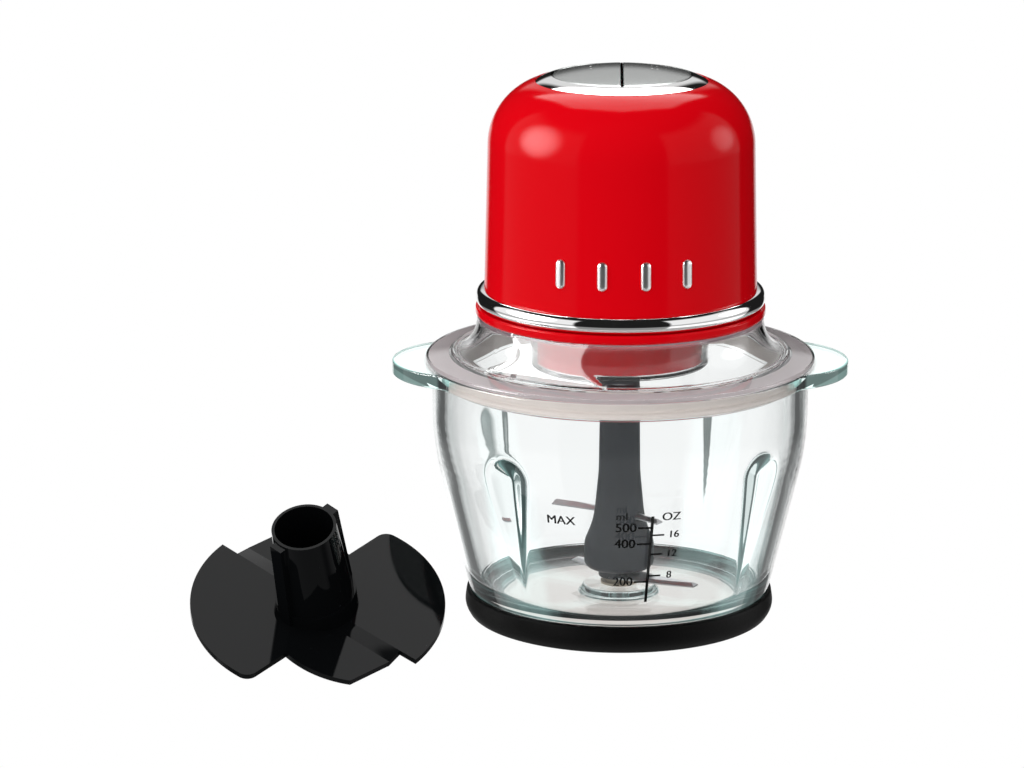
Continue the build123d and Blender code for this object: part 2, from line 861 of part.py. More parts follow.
# Chrome bezel let into the top of the dome, with a tube that guides the buttons
bezel_tube_radius = bezel_inner + bezel_tube_wall
bezel_bottom = crown_z(bezel_inner) - bezel_tube_depth
with BuildPart() as button_bezel:
    with BuildSketch(Plane.XZ):
        with BuildLine():
            bezel_face = ThreePointArc(
                (bezel_inner, crown_z(bezel_inner)),
                (
                    (bezel_inner + dome_opening_radius) / 2,
                    crown_z((bezel_inner + dome_opening_radius) / 2) + bezel_crown,
                ),
                (dome_opening_radius, crown_z(dome_opening_radius)),
            )
            Polyline(
                bezel_face @ 1,
                (dome_opening_radius, ledge_top),
                (bezel_tube_radius, ledge_top),
                (bezel_tube_radius, bezel_bottom),
                (bezel_inner, bezel_bottom),
                bezel_face @ 0,
            )
        make_face()
    revolve(axis=Axis.Z)
write(button_bezel, "button_bezel")

# Two half-round push buttons, low and high speed, split along the Y axis
button_bottom = bezel_bottom - button_lug_height - slip_gap
with BuildPart() as button_cap:
    with BuildSketch(Plane.XZ):
        with BuildLine():
            cap_top = ThreePointArc(
                (0, crown_z(0.0)),
                (button_radius / 2, crown_z(button_radius / 2)),
                (button_radius, crown_z(button_radius)),
            )
            cap_under = ThreePointArc(
                (0, crown_z(0.0, button_wall)),
                (button_radius / 2, crown_z(button_radius / 2, button_wall)),
                (button_radius - button_wall, crown_z(button_radius - button_wall, button_wall)),
            )
            lug_radius = bezel_inner + button_lug
            Polyline(
                cap_top @ 1,
                (button_radius, button_bottom + button_lug_height),
                (lug_radius, button_bottom + button_lug_height),
                (lug_radius, button_bottom),
                (button_radius - button_wall, button_bottom),
                cap_under @ 1,
            )
            Line(cap_under @ 0, cap_top @ 0)
        make_face()
    revolve(axis=Axis.Z)


def button(side):
    """One half of the button cap with its plunger and spring boss; side is -1 or 1."""
    plunger = (side * plunger_place[0], plunger_place[1])
    spring = (side * spring_place[0], spring_place[1])
    with BuildPart() as half:
        add(button_cap.part)
        with BuildSketch(Plane.XY.offset(button_bottom)):
            with Locations((side * (button_split / 2 + button_radius), 0)):
                Rectangle(2 * button_radius, 3 * button_radius)
        extrude(amount=crown_height, mode=Mode.INTERSECT)
        with BuildSketch(Plane.XY.offset(plunger_bottom)):
            with Locations(plunger):
                Circle(plunger_radius)
        extrude(amount=crown_z(math.hypot(*plunger), button_wall / 2) - plunger_bottom)
        with BuildSketch(Plane.XY.offset(spring_top)):
            with Locations(spring):
                Circle(spring_radius + spring_wire)
        extrude(amount=crown_z(math.hypot(*spring), button_wall / 2) - spring_top)
    return half


spring_top = crown_z(math.hypot(*spring_place), button_wall) - button_wall
button_left = button(-1)
button_right = button(1)
write(button_left, "button_left")
write(button_right, "button_right")


def press_spring(side):
    """Coil spring under a button, wound round in single turns from board to cap."""
    height = spring_top - board_top - spring_wire
    pitch = height / spring_turns
    with BuildPart() as spring:
        with BuildLine():
            coil = Helix(
                pitch=pitch,
                height=height,
                radius=spring_radius,
                center=(side * spring_place[0], spring_place[1], board_top + spring_wire / 2),
            )
        with BuildSketch(Plane(origin=coil @ 0, z_dir=coil % 0)):
            Rectangle(spring_wire, spring_wire)
        sweep(is_frenet=True)
    return spring


for name, side in (("spring_left", -1), ("spring_right", 1)):
    write(press_spring(side), name)

# Four raised bars on the front of the dome, bent to its surface
def dome_surface(height):
    """Outer radius of the tapered dome wall at a height."""
    share = (height - trim_top) / dome_taper_height
    return dome_radius + share * (dome_shoulder_radius - dome_radius)


bar_radius = dome_surface(bar_centre_height)
with BuildPart() as front_bars:
    for bar in range(bar_count):
        turn = (bar - (bar_count - 1) / 2) * bar_pitch / bar_radius
        outward = Vector(math.sin(turn), -math.cos(turn), 0)
        sideways = Vector(math.cos(turn), math.sin(turn), 0)
        foot_point = outward * (bar_radius - bar_sink) + Vector(0, 0, bar_centre_height)
        with BuildSketch(Plane(origin=foot_point, x_dir=sideways, z_dir=outward)):
            SlotOverall(bar_height, bar_width, rotation=90)
        extrude(amount=bar_depth + bar_sink)
    flat_ends = front_bars.faces().filter_by(GeomType.PLANE).group_by(SortBy.AREA)[-1]
    fillet(flat_ends.edges(), 0.4 * bar_depth)
    add(dome_form.part, mode=Mode.SUBTRACT)
write(front_bars, "front_bars")

# Rubber bushing at the back of the dome, where the lead comes out
with BuildPart() as cord_bushing:
    back = Plane(origin=(0, dome_radius, bushing_height), x_dir=(-1, 0, 0), z_dir=(0, 1, 0))
    with BuildSketch(back.offset(-bushing_length)):
        Circle(bushing_radius)
    extrude(amount=bushing_length)
    with BuildSketch(back):
        Circle(bushing_flange_radius)
    extrude(amount=bushing_flange)
    fillet(cord_bushing.edges().group_by(Axis.Y)[-1], 0.4 * bushing_flange)
    with BuildSketch(back.offset(-bushing_length)):
        Circle(bushing_bore)
    extrude(amount=bushing_length + bushing_flange, mode=Mode.SUBTRACT)
write(cord_bushing, "cord_bushing")

# Four screws that hold the two halves of the head together
with BuildPart() as housing_screws:
    with BuildSketch(Plane.XY.offset(deck_top + screw_recess)):
        with PolarLocations(screw_circle, screw_count, start_angle=screw_angle):
            Circle(screw_head_radius)
    extrude(amount=-screw_head_height)
    with BuildSketch(Plane.XY.offset(deck_top + screw_recess)):
        with PolarLocations(screw_circle, screw_count, start_angle=screw_angle):
            Circle(screw_radius)
    extrude(amount=screw_length)
write(housing_screws, "housing_screws")


def involute(angle):
    """Involute function of a pressure angle in radians."""
    return math.tan(angle) - angle


def tooth_ring(teeth, low, high, backlash, phase):
    """Outline of a gear: for each tooth, its root land, two flanks and tip land.

    The half angle of a tooth at radius r is its half angle at the pitch circle plus
    inv(pressure angle) minus inv(acos(base radius / r)). A ring gear is cut by the same
    outline, with its backlash added instead of taken off.
    """
    pitch_radius = gear_module * teeth / 2
    base_radius = pitch_radius * math.cos(math.radians(pressure_angle))
    at_pitch = math.pi / (2 * teeth) - backlash / (2 * pitch_radius)
    start = max(low, base_radius)
    radii = [start, (start + high) / 2, high]
    halves = []
    for radius in radii:
        halves.append(
            at_pitch
            + involute(math.radians(pressure_angle))
            - involute(math.acos(min(1.0, base_radius / radius)))
        )
    if low < base_radius:
        radii.insert(0, low)
        halves.insert(0, halves[0])
    points = []
    for tooth in range(teeth):
        middle = phase + 2 * math.pi * tooth / teeth
        for radius, half in zip(radii, halves):
            points.append((radius * math.cos(middle - half), radius * math.sin(middle - half)))
        for radius, half in zip(reversed(radii), reversed(halves)):
            points.append((radius * math.cos(middle + half), radius * math.sin(middle + half)))
    return points


def external_gear(teeth, bore, phase, centre=(0, 0)):
    """A spur gear with a plain bore between the two gear faces."""
    pitch_radius = gear_module * teeth / 2
    low = pitch_radius - gear_dedendum * gear_module
    high = pitch_radius + gear_addendum * gear_module
    with BuildPart() as gear:
        with BuildSketch(Plane(origin=(*centre, gear_bottom))):
            with BuildLine():
                Polyline(*tooth_ring(teeth, low, high, gear_backlash, phase), close=True)
            make_face()
            Circle(bore, mode=Mode.SUBTRACT)
        extrude(amount=gear_width)
    return gear


# Planetary stage: sun on the motor shaft, three planets on the carrier, fixed ring
sun_pinion = external_gear(sun_teeth, shaft_radius, 0.0)
write(sun_pinion, "sun_pinion")
for planet in range(planet_count):
    place = 2 * math.pi * planet / planet_count
    planet_gear = external_gear(
        planet_teeth,
        planet_pin_radius + running_gap,
        place + math.pi + math.pi / planet_teeth,
        (gear_centres * math.cos(place), gear_centres * math.sin(place)),
    )
    write(planet_gear, f"planet_gear_{planet + 1}")

with BuildPart() as ring_gear:
    with BuildSketch(Plane.XY.offset(pedestal_top)):
        Circle(ring_outer_radius)
        with BuildLine():
            Polyline(
                *tooth_ring(
                    ring_teeth,
                    pitch_ring - gear_addendum * gear_module,
                    ring_root_radius,
                    -gear_backlash,
                    0.0,
                ),
                close=True,
            )
        make_face(mode=Mode.SUBTRACT)
        with PolarLocations(cover_screw_circle, cover_screw_count, start_angle=cover_screw_angle):
            Circle(cover_screw_radius, mode=Mode.SUBTRACT)
    extrude(amount=cover_bottom - pedestal_top)
write(ring_gear, "ring_gear")

# Planet carrier: three-armed plate, planet pins and output shaft
with BuildPart() as planet_carrier:
    with BuildSketch(Plane.XY.offset(carrier_bottom)):
        Circle(gear_centres - carrier_rim / 2)
        with PolarLocations(gear_centres, planet_count):
            Circle(carrier_rim)
    extrude(amount=carrier_thickness)
    with BuildSketch(Plane.XY.offset(carrier_top)):
        with PolarLocations(gear_centres, planet_count):
            Circle(planet_pin_radius)
    extrude(amount=gear_side_gap + gear_width)
    with BuildSketch(Plane.XY.offset(carrier_top)):
        with PolarLocations(gear_centres, planet_count):
            Circle(planet_pin_radius + gear_module)
    extrude(amount=gear_side_gap - running_gap)
    with BuildSketch(Plane.XY.offset(carrier_bottom)):
        Circle(output_shaft_radius)
    extrude(amount=-(carrier_bottom - output_bush_bottom + gear_side_gap))
write(planet_carrier, "planet_carrier")

# Drive coupling on the carrier, whose six-sided socket turns the top of the blade hub
coupling_top = output_bush_bottom - gear_side_gap
coupling_bottom = boss_bottom + coupling_recess
coupling_socket_top = hub_top + slip_gap
with BuildPart() as drive_coupling:
    with BuildSketch(Plane.XY.offset(coupling_bottom)):
        Circle(coupling_radius)
    extrude(amount=coupling_top - coupling_bottom)
    fillet(drive_coupling.edges().group_by(Axis.Z)[0], 0.1 * coupling_radius)
    with BuildSketch(Plane.XY.offset(coupling_bottom)):
        RegularPolygon(hub_hex_flats / 2 + running_gap, 6, major_radius=False)
    extrude(amount=coupling_socket_top - coupling_bottom, mode=Mode.SUBTRACT)
    with BuildSketch(Plane.XY.offset(coupling_bottom)):
        Circle(hub_top_radius + slip_gap)
    extrude(amount=hub_top - hub_hex_height - coupling_bottom + slip_gap, mode=Mode.SUBTRACT)
write(drive_coupling, "drive_coupling")

# Gearbox cover with the lower motor bearing and two posts that carry the stator
bearing_radius = shaft_radius + running_gap + bearing_wall
with BuildPart() as gearbox_cover:
    with BuildSketch(Plane.XY.offset(cover_bottom)):
        Circle(ring_outer_radius)
        with PolarLocations(cover_screw_circle, cover_screw_count, start_angle=cover_screw_angle):
            Circle(cover_screw_radius, mode=Mode.SUBTRACT)
    extrude(amount=cover_thickness)
    with BuildSketch(Plane.XY.offset(cover_bottom)):
        Circle(bearing_radius + bearing_boss_wall)
    extrude(amount=bearing_length)
    with BuildSketch(Plane.XY.offset(cover_top)):
        with PolarLocations(post_circle, 2):
            Circle(post_radius)
    extrude(amount=stator_bottom - cover_top)
    with BuildSketch(Plane.XY.offset(cover_bottom)):
        Circle(bearing_radius)
    extrude(amount=bearing_length, mode=Mode.SUBTRACT)
write(gearbox_cover, "gearbox_cover")

with BuildPart() as cover_screws:
    with BuildSketch(Plane.XY.offset(cover_top)):
        with PolarLocations(cover_screw_circle, cover_screw_count, start_angle=cover_screw_angle):
            Circle(2 * cover_screw_radius)
    extrude(amount=cover_screw_radius)
    with BuildSketch(Plane.XY.offset(cover_top)):
        with PolarLocations(cover_screw_circle, cover_screw_count, start_angle=cover_screw_angle):
            Circle(cover_screw_radius)
    extrude(amount=-(cover_top - floor_top))
write(cover_screws, "cover_screws")

shaft_bore = shaft_radius + running_gap
lower_bearing = round_block(bearing_radius, bearing_bottom, bearing_top, shaft_bore)
write(lower_bearing, "lower_bearing")
upper_bearing = round_block(bearing_radius, bracket_bottom, upper_bearing_top, shaft_bore)
write(upper_bearing, "upper_bearing")

# Rotor: shaft, cooling fan, slotted core, end windings and commutator
motor_shaft = round_block(shaft_radius, gear_bottom, shaft_top)
write(motor_shaft, "motor_shaft")

with BuildPart() as cooling_fan:
    with BuildSketch(Plane.XY.offset(fan_bottom)):
        Circle(fan_radius)
    extrude(amount=fan_disc)
    with BuildSketch(Plane.XY.offset(fan_bottom + fan_disc)):
        Circle(fan_hub_radius)
        with PolarLocations(fan_radius / 2, fan_blade_count):
            Rectangle(fan_radius - 2 * fan_blade_thickness, fan_blade_thickness)
    extrude(amount=fan_blade_height)
    with BuildSketch(Plane.XY.offset(fan_bottom)):
        Circle(shaft_radius)
    extrude(amount=fan_disc + fan_blade_height, mode=Mode.SUBTRACT)
write(cooling_fan, "cooling_fan")

with BuildPart() as armature_core:
    with BuildSketch(Plane.XY.offset(stator_bottom)):
        Circle(armature_radius)
        with PolarLocations(armature_radius, armature_slots):
            Rectangle(2 * armature_slot_depth, armature_slot_width, mode=Mode.SUBTRACT)
        Circle(shaft_radius, mode=Mode.SUBTRACT)
    extrude(amount=stator_length)
write(armature_core, "armature_core")

with BuildPart() as armature_windings:
    for level in (winding_bottom, stator_top):
        with BuildSketch(Plane.XY.offset(level)):
            Circle(winding_radius)
            Circle(shaft_radius, mode=Mode.SUBTRACT)
        extrude(amount=winding_length)
    winding_ends = armature_windings.edges().filter_by(
        lambda edge: edge.geom_type == GeomType.CIRCLE and edge.radius > shaft_radius + 1
    )
    fillet(winding_ends, 0.3 * winding_length)
write(armature_windings, "armature_windings")

commutator = round_block(commutator_radius, commutator_bottom, commutator_top, shaft_radius)
write(commutator, "commutator")

# Stator: laminated frame with a round bore and slots for the two field coils
with BuildPart() as motor_stator:
    with BuildSketch(Plane.XY.offset(stator_bottom)):
        RectangleRounded(stator_width, stator_depth, stator_corner)
        Circle(armature_radius + air_gap, mode=Mode.SUBTRACT)
        for side in (-1, 1):
            with Locations((0, side * coil_offset)):
                with GridLocations(coil_width - coil_bar, 1, 2, 1):
                    Rectangle(coil_bar, coil_depth, mode=Mode.SUBTRACT)
    extrude(amount=stator_length)
write(motor_stator, "motor_stator")

with BuildPart() as field_coils:
    for side in (-1, 1):
        coil_face = Plane(
            origin=(0, side * coil_offset - coil_depth / 2, (stator_bottom + stator_top) / 2),
            x_dir=(-1, 0, 0),
            z_dir=(0, 1, 0),
        )
        with BuildSketch(coil_face):
            coil_height = stator_length + 2 * coil_overhang
            RectangleRounded(coil_width, coil_height, 0.6 * coil_overhang)
            Rectangle(coil_width - 2 * coil_bar, stator_length, mode=Mode.SUBTRACT)
        extrude(amount=coil_depth)
write(field_coils, "field_coils")

# Upper bracket: bearing boss, posts down to the stator and posts up to the board
with BuildPart() as upper_bracket:
    with BuildSketch(Plane.XY.offset(bracket_bottom)):
        SlotOverall(bracket_length, bracket_depth)
    extrude(amount=bracket_thickness)
    with BuildSketch(Plane.XY.offset(bracket_bottom)):
        Circle(bearing_radius + bearing_boss_wall)
    extrude(amount=bearing_length)
    with BuildSketch(Plane.XY.offset(stator_top)):
        with PolarLocations(post_circle, 2):
            Circle(post_radius)
    extrude(amount=board_bottom - stator_top)
    with BuildSketch(Plane.XY.offset(bracket_bottom)):
        Circle(bearing_radius)
    extrude(amount=bearing_length, mode=Mode.SUBTRACT)
write(upper_bracket, "upper_bracket")

brush_start = commutator_radius + running_gap
brush_height = commutator_length - 2 * holder_wall
brush_level = (commutator_bottom + commutator_top) / 2
with BuildPart() as carbon_brushes:
    with BuildSketch(Plane.XY.offset(brush_level - brush_height / 2)):
        with PolarLocations(brush_start + brush_length / 2, 2):
            Rectangle(brush_length, brush_width)
    extrude(amount=brush_height)
    with BuildSketch(Plane.XY.offset(brush_level - brush_height / 2)):
        Circle(brush_start)
    extrude(amount=brush_height, mode=Mode.SUBTRACT)
write(carbon_brushes, "carbon_brushes")

with BuildPart() as brush_holders:
    with BuildSketch(Plane.XY.offset(brush_level - brush_height / 2 - holder_wall)):
        with PolarLocations(brush_start + brush_length / 2 + holder_wall, 2):
            Rectangle(brush_length, brush_width + 2 * holder_wall)
    extrude(amount=bracket_bottom - brush_level + brush_height / 2 + holder_wall)
    with BuildSketch(Plane.XY.offset(brush_level - brush_height / 2)):
        with PolarLocations(brush_start + brush_length / 2, 2):
            Rectangle(brush_length, brush_width)
    extrude(amount=brush_height, mode=Mode.SUBTRACT)
write(brush_holders, "brush_holders")

# Circuit board and the two microswitches that the plungers press
with BuildPart() as circuit_board:
    with BuildSketch(Plane.XY.offset(board_bottom)):
        Circle(board_radius)
    extrude(amount=board_thickness)
write(circuit_board, "circuit_board")

with BuildPart() as microswitches:
    switch_places = [(side * plunger_place[0], plunger_place[1]) for side in (-1, 1)]
    with BuildSketch(Plane.XY.offset(board_top)):
        with Locations(*switch_places):
            Rectangle(switch_width, switch_depth)
    extrude(amount=switch_height)
    with BuildSketch(Plane.XY.offset(board_top + switch_height)):
        with Locations(*switch_places):
            Circle(switch_tip_radius)
    extrude(amount=switch_tip_height)
write(microswitches, "microswitches")


# Emulsifying disc: two half plates joined by slanted webs, set at a slant to an open tube
# with two long keys. The plates lie on XY until the disc is laid down.
disc_pitch = math.degrees(math.asin(disc_step / (2 * disc_radius)))
tube_top = disc_thickness + disc_tube_height


def web_section(reach):
    """Slanted wall between the two half plates, as a face square to their joint."""
    rise = disc_step / 2 * reach / disc_radius
    with BuildSketch(Plane(origin=(reach, 0, 0), x_dir=(0, 1, 0), z_dir=(1, 0, 0))) as face:
        with BuildLine():
            Polyline(
                (disc_overlap, rise),
                (disc_overlap, rise + disc_thickness),
                (0, rise + disc_thickness),
                (-disc_web, disc_thickness - rise),
                (-disc_web - disc_overlap, disc_thickness - rise),
                (-disc_web - disc_overlap, -rise),
                (-disc_web, -rise),
                (0, rise),
                close=True,
            )
        make_face()
    return face


with BuildPart() as disc_half:
    with BuildSketch(Plane.XY.rotated((0, -disc_pitch, 0))):
        with BuildLine():
            lobe_top = (-disc_lobe_end, math.sqrt(disc_radius**2 - disc_lobe_end**2))
            lobe = ThreePointArc(
                (disc_radius, 0),
                (disc_radius * math.cos(math.pi / 4), disc_radius * math.sin(math.pi / 4)),
                lobe_top,
            )
            Polyline(lobe_top, disc_notch)
            SagittaArc(disc_notch, disc_tip, -disc_tip_bow)
            Polyline(
                disc_tip,
                (-disc_low_corner, disc_web),
                (0, disc_web),
                (0, 0),
                (disc_radius, 0),
            )
        make_face()
    extrude(amount=disc_thickness)
    lobe_corner = disc_half.edges().filter_by(Axis.Z, tolerance=5).sort_by(Axis.Y)[-1]
    fillet(lobe_corner, disc_corner)
    loft([web_section(disc_tube_top_radius).sketch, web_section(disc_low_corner).sketch], ruled=True)

with BuildPart() as disc_plates:
    with PolarLocations(0, 2):
        add(disc_half.part)

# Where the plates lie: tipped on to their rim, with the end of the stub on the table behind
tilt = math.radians(disc_tilt)
lean = math.radians(disc_lean)
plate_normal = Vector(
    -math.sin(tilt) * math.sin(lean), -math.sin(tilt) * math.cos(lean), math.cos(tilt)
)
plate_right = Vector(0, 1, 0).cross(plate_normal).normalized()
plate_joint = plate_right.rotate(Axis((0, 0, 0), tuple(plate_normal)), -disc_joint_angle)
lying = Plane(origin=(*disc_centre, 0), x_dir=plate_joint, z_dir=plate_normal)
plates_rise = -disc_plates.part.moved(lying.location).bounding_box().min.Z

# The tube's axis leans from the plates' normal towards one side of the joint
slant_way = math.radians(disc_slant_angle)
slant_axis = Axis((0, 0, disc_thickness / 2), (-math.sin(slant_way), math.cos(slant_way), 0))
tube_axis = plate_normal.rotate(
    Axis((0, 0, 0), tuple(lying.from_local_coords(slant_axis.direction) - lying.origin)), disc_slant
)
foot_rise = plates_rise + plate_normal.Z * disc_thickness / 2
stub_end_drop = disc_stub_radius * math.sqrt(1 - tube_axis.Z**2)
stub_length = (foot_rise - stub_end_drop) / tube_axis.Z

with BuildPart() as disc_tube:
    with BuildSketch(Plane.XY.offset(disc_thickness / 2)):
        Circle(disc_stub_radius)
    extrude(amount=-stub_length)
    with BuildSketch(Plane.XZ):
        with BuildLine():
            Polyline(
                (0, -disc_step / 2),
                (disc_collar_radius, -disc_step / 2),
                (disc_collar_radius, disc_thickness + disc_collar_height),
                (disc_tube_foot_radius, disc_thickness + disc_collar_height),
                (disc_tube_top_radius, tube_top),
                (0, tube_top),
                close=True,
            )
        make_face()
    revolve(axis=Axis.Z)
    with BuildSketch(Plane.XY.offset(disc_thickness)):
        with Locations(Location((0, 0, 0), (0, 0, disc_key_angle))):
            Rectangle(2 * disc_key_foot_reach, disc_key_width)
    with BuildSketch(Plane.XY.offset(tube_top - disc_key_drop)):
        with Locations(Location((0, 0, 0), (0, 0, disc_key_angle))):
            Rectangle(2 * disc_key_top_reach, disc_key_width)
    loft(ruled=True)

with BuildPart() as disc_bore:
    with BuildSketch(Plane.XY.offset(-stub_length)):
        Circle(disc_tube_top_radius - disc_tube_wall)
    extrude(amount=stub_length + tube_top)

with BuildPart() as disc_upright:
    add(disc_plates.part)
    add(disc_tube.part.rotate(slant_axis, disc_slant))
    add(disc_bore.part.rotate(slant_axis, disc_slant), mode=Mode.SUBTRACT)

laid = disc_upright.part.moved(lying.location)
with BuildPart() as emulsifying_disc:
    add(laid.moved(Location((0, 0, -laid.bounding_box().min.Z))))
write(emulsifying_disc, "emulsifying_disc")
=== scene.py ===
"""Looks of the electric mini chopper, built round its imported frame. Metres, +Z up, front to -Y.

The shown surfaces are grids made with numpy: profiles swept round the blade's axis, and pads
raised from an outline. Lengths inside the shape functions are millimetres.
"""

import json
import math

import bpy
import numpy as np
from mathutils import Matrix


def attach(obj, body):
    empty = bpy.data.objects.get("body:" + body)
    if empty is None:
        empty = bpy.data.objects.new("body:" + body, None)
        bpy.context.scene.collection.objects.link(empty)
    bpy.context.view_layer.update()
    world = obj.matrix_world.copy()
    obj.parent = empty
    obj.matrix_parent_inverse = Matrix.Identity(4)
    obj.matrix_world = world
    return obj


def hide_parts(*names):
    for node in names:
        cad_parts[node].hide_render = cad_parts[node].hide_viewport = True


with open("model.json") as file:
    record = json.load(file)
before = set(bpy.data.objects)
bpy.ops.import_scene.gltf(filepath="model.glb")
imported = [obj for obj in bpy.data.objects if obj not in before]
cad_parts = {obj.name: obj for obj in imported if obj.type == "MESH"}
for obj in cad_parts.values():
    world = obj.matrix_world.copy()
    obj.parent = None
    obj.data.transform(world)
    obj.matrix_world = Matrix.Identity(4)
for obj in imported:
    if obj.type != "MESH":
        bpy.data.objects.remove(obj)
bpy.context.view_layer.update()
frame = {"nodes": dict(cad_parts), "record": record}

nodes = frame["nodes"]
slots = {row["node"]: row["material_slot"] for row in frame["record"]["subparts"]}
MM = 0.001
TURN = 2 * math.pi

# Directions of the bowl's four ribs, anticlockwise from +X.
FLUTES = [math.radians(a) for a in (50, 140, 230, 320)]


# Shader values and looks


class Value:
    """A number in a material; plain arithmetic on it adds Math nodes."""

    def __init__(self, look, socket):
        self.look = look
        self.socket = socket

    def __add__(self, other):
        return self.look.math("ADD", self, other)

    def __sub__(self, other):
        return self.look.math("SUBTRACT", self, other)

    def __rsub__(self, other):
        return self.look.math("SUBTRACT", other, self)

    def __mul__(self, other):
        return self.look.math("MULTIPLY", self, other)

    __radd__ = __add__
    __rmul__ = __mul__

    def __gt__(self, other):
        return self.look.math("GREATER_THAN", self, other)

    def step(self, low, high):
        """Smooth rise from 0 at low to 1 at high."""
        ends = {"From Min": low, "From Max": high}
        out = self.look.node("ShaderNodeMapRange", Value=self, **ends)
        out.interpolation_type = "SMOOTHSTEP"
        return Value(self.look, out.outputs["Result"])


class Look:
    """A node tree with one method for arithmetic and one for any other node."""

    def __init__(self, tree):
        self.tree = tree
        self.tree.nodes.clear()

    def node(self, kind, settings=(), **inputs):
        """Adds a node, sets its properties, and links or sets its inputs by name."""
        made = self.tree.nodes.new(kind)
        for key, value in dict(settings).items():
            setattr(made, key, value)
        for key, value in inputs.items():
            self.put(made.inputs[key], value)
        return made

    def put(self, socket, value):
        """Links a value or a node's output, or sets a plain number or colour."""
        if isinstance(value, Value):
            value = value.socket
        if isinstance(value, bpy.types.NodeSocket):
            self.tree.links.new(value, socket)
        elif hasattr(socket.default_value, "__len__") and len(socket.default_value) == 4:
            socket.default_value = (*value[:3], 1.0)
        else:
            socket.default_value = value

    def math(self, operation, *values):
        """Adds a Math node that does one operation on values and plain numbers."""
        made = self.tree.nodes.new("ShaderNodeMath")
        made.operation = operation
        for socket, value in zip(made.inputs, values):
            self.put(socket, value)
        return Value(self, made.outputs[0])

    def mix(self, share, low, high):
        """Colour that goes from low to high as share goes from 0 to 1."""
        made = self.tree.nodes.new("ShaderNodeMix")
        made.data_type = "RGBA"
        for socket, value in ((0, share), (6, low), (7, high)):
            self.put(made.inputs[socket], value)
        return made.outputs[2]

    def place(self):
        """The point being shaded, in metres, as three values and a vector."""
        where = self.node("ShaderNodeTexCoord").outputs["Object"]
        split = self.node("ShaderNodeSeparateXYZ", Vector=where)
        return where, *(Value(self, split.outputs[n]) for n in range(3))

    def noise(self, scale, detail=2.0, stretch=(1, 1, 1)):
        """Soft noise, about 0 to 1, on the piece's own coordinates."""
        where = self.place()[0]
        sized = self.node("ShaderNodeMapping", Vector=where, Scale=stretch).outputs[0]
        made = self.node("ShaderNodeTexNoise", Vector=sized, Scale=scale, Detail=detail)
        return Value(self, made.outputs["Fac"])

    def bump(self, height, distance, strength=1.0):
        """Normal tilted by a height value; distance is the height's size in metres."""
        made = self.node("ShaderNodeBump", Height=height, Distance=distance, Strength=strength)
        return made.outputs["Normal"]


def material(name, colour, roughness, metallic=0.0, **constants):
    """A Principled material with a colour, a roughness and any constant sockets."""
    made = bpy.data.materials.new(name)
    made.use_nodes = True
    look = Look(made.node_tree)
    look.shader = look.node("ShaderNodeBsdfPrincipled", Roughness=roughness, Metallic=metallic)
    look.put(look.shader.inputs["Base Color"], colour)
    for key, value in constants.items():
        look.put(look.shader.inputs[key.replace("_", " ")], value)
    look.out = look.node("ShaderNodeOutputMaterial", Surface=look.shader.outputs[0])
    look.material = made
    return look


def set_input(look, socket, value):
    """Feeds or sets one socket of a material's Principled shader."""
    look.put(look.shader.inputs[socket], value)


# Plain finishes, one for each slot: colour, roughness and metallic.
PLAIN = {
    "chrome_plate": ((0.93, 0.93, 0.93), 0.05, 1.0),
    "button_chrome": ((0.44, 0.455, 0.445), 0.22, 1.0),
    "steel": ((0.62, 0.62, 0.63), 0.25, 1.0),
    "bronze": ((0.58, 0.5, 0.4), 0.5, 1.0),
    "silicone": ((0.76, 0.67, 0.63), 0.45),
    "black_nylon": ((0.02, 0.02, 0.021), 0.5),
    "white_nylon": ((0.8, 0.78, 0.72), 0.45),
    "carbon": ((0.03, 0.03, 0.03), 0.6),
    "board_green": ((0.02, 0.16, 0.06), 0.35),
}
LOOKS = {slot: material(slot, *finish) for slot, finish in PLAIN.items()}
LOOKS["red_plastic"] = material(
    "red_plastic", (0.76, 0.0, 0.005), 0.12, Specular_IOR_Level=0.1
)
LOOKS["disc_plastic"] = material("disc_plastic", (0.003, 0.0034, 0.0038), 0.05, IOR=1.12)

# Finishes of single pieces, which are in no slot of the frame.
satin = material("chrome_satin", (0.9, 0.9, 0.9), 0.3, 1.0)
leaf_look = material("silicone_leaf", (0.5, 0.46, 0.47), 0.45)
ink = material("scale_ink", (0.004, 0.004, 0.004), 0.6, Specular_IOR_Level=0.05)
pale = material("pale_ink", (0.75, 0.75, 0.74), 0.4)

# Rubber and hub plastic have a fine moulded grain.
rubber = material("mat_rubber", (0.0025, 0.0025, 0.0025), 0.5, Specular_IOR_Level=0.08)
set_input(rubber, "Normal", rubber.bump(rubber.noise(900.0, 3.0), 0.00008))
LOOKS["mat_rubber"] = rubber

hub_look = material("hub_plastic", (0.014, 0.016, 0.022), 0.42, Specular_IOR_Level=0.3)
set_input(hub_look, "Normal", hub_look.bump(hub_look.noise(1500.0, 2.0), 0.00003))
LOOKS["hub_plastic"] = hub_look

# Brushed steel: roughness from 0.25 to 0.45 along stretched noise.
blade_look = material("blade_steel", (0.8, 0.8, 0.82), 0.3, 1.0)
brushed = blade_look.noise(700.0, 2.0, (0.06, 1.0, 1.0))
set_input(blade_look, "Roughness", brushed * 0.2 + 0.25)
LOOKS["blade_steel"] = blade_look

# Windings and laminations are fine rings: a sine along Z, one wave to each turn or sheet.
WIRE_PITCH, SHEET_PITCH = 0.0008, 0.0007
for slot, colour, roughness, pitch, height in (
    ("copper", (0.72, 0.3, 0.14), 0.3, WIRE_PITCH, 0.0002),
    ("lamination", (0.34, 0.34, 0.35), 0.45, SHEET_PITCH, 0.0001),
):
    rings = material(slot, colour, roughness, 1.0)
    wave = rings.math("SINE", rings.place()[3] * (TURN / pitch))
    set_input(rings, "Normal", rings.bump(wave, height))
    LOOKS[slot] = rings

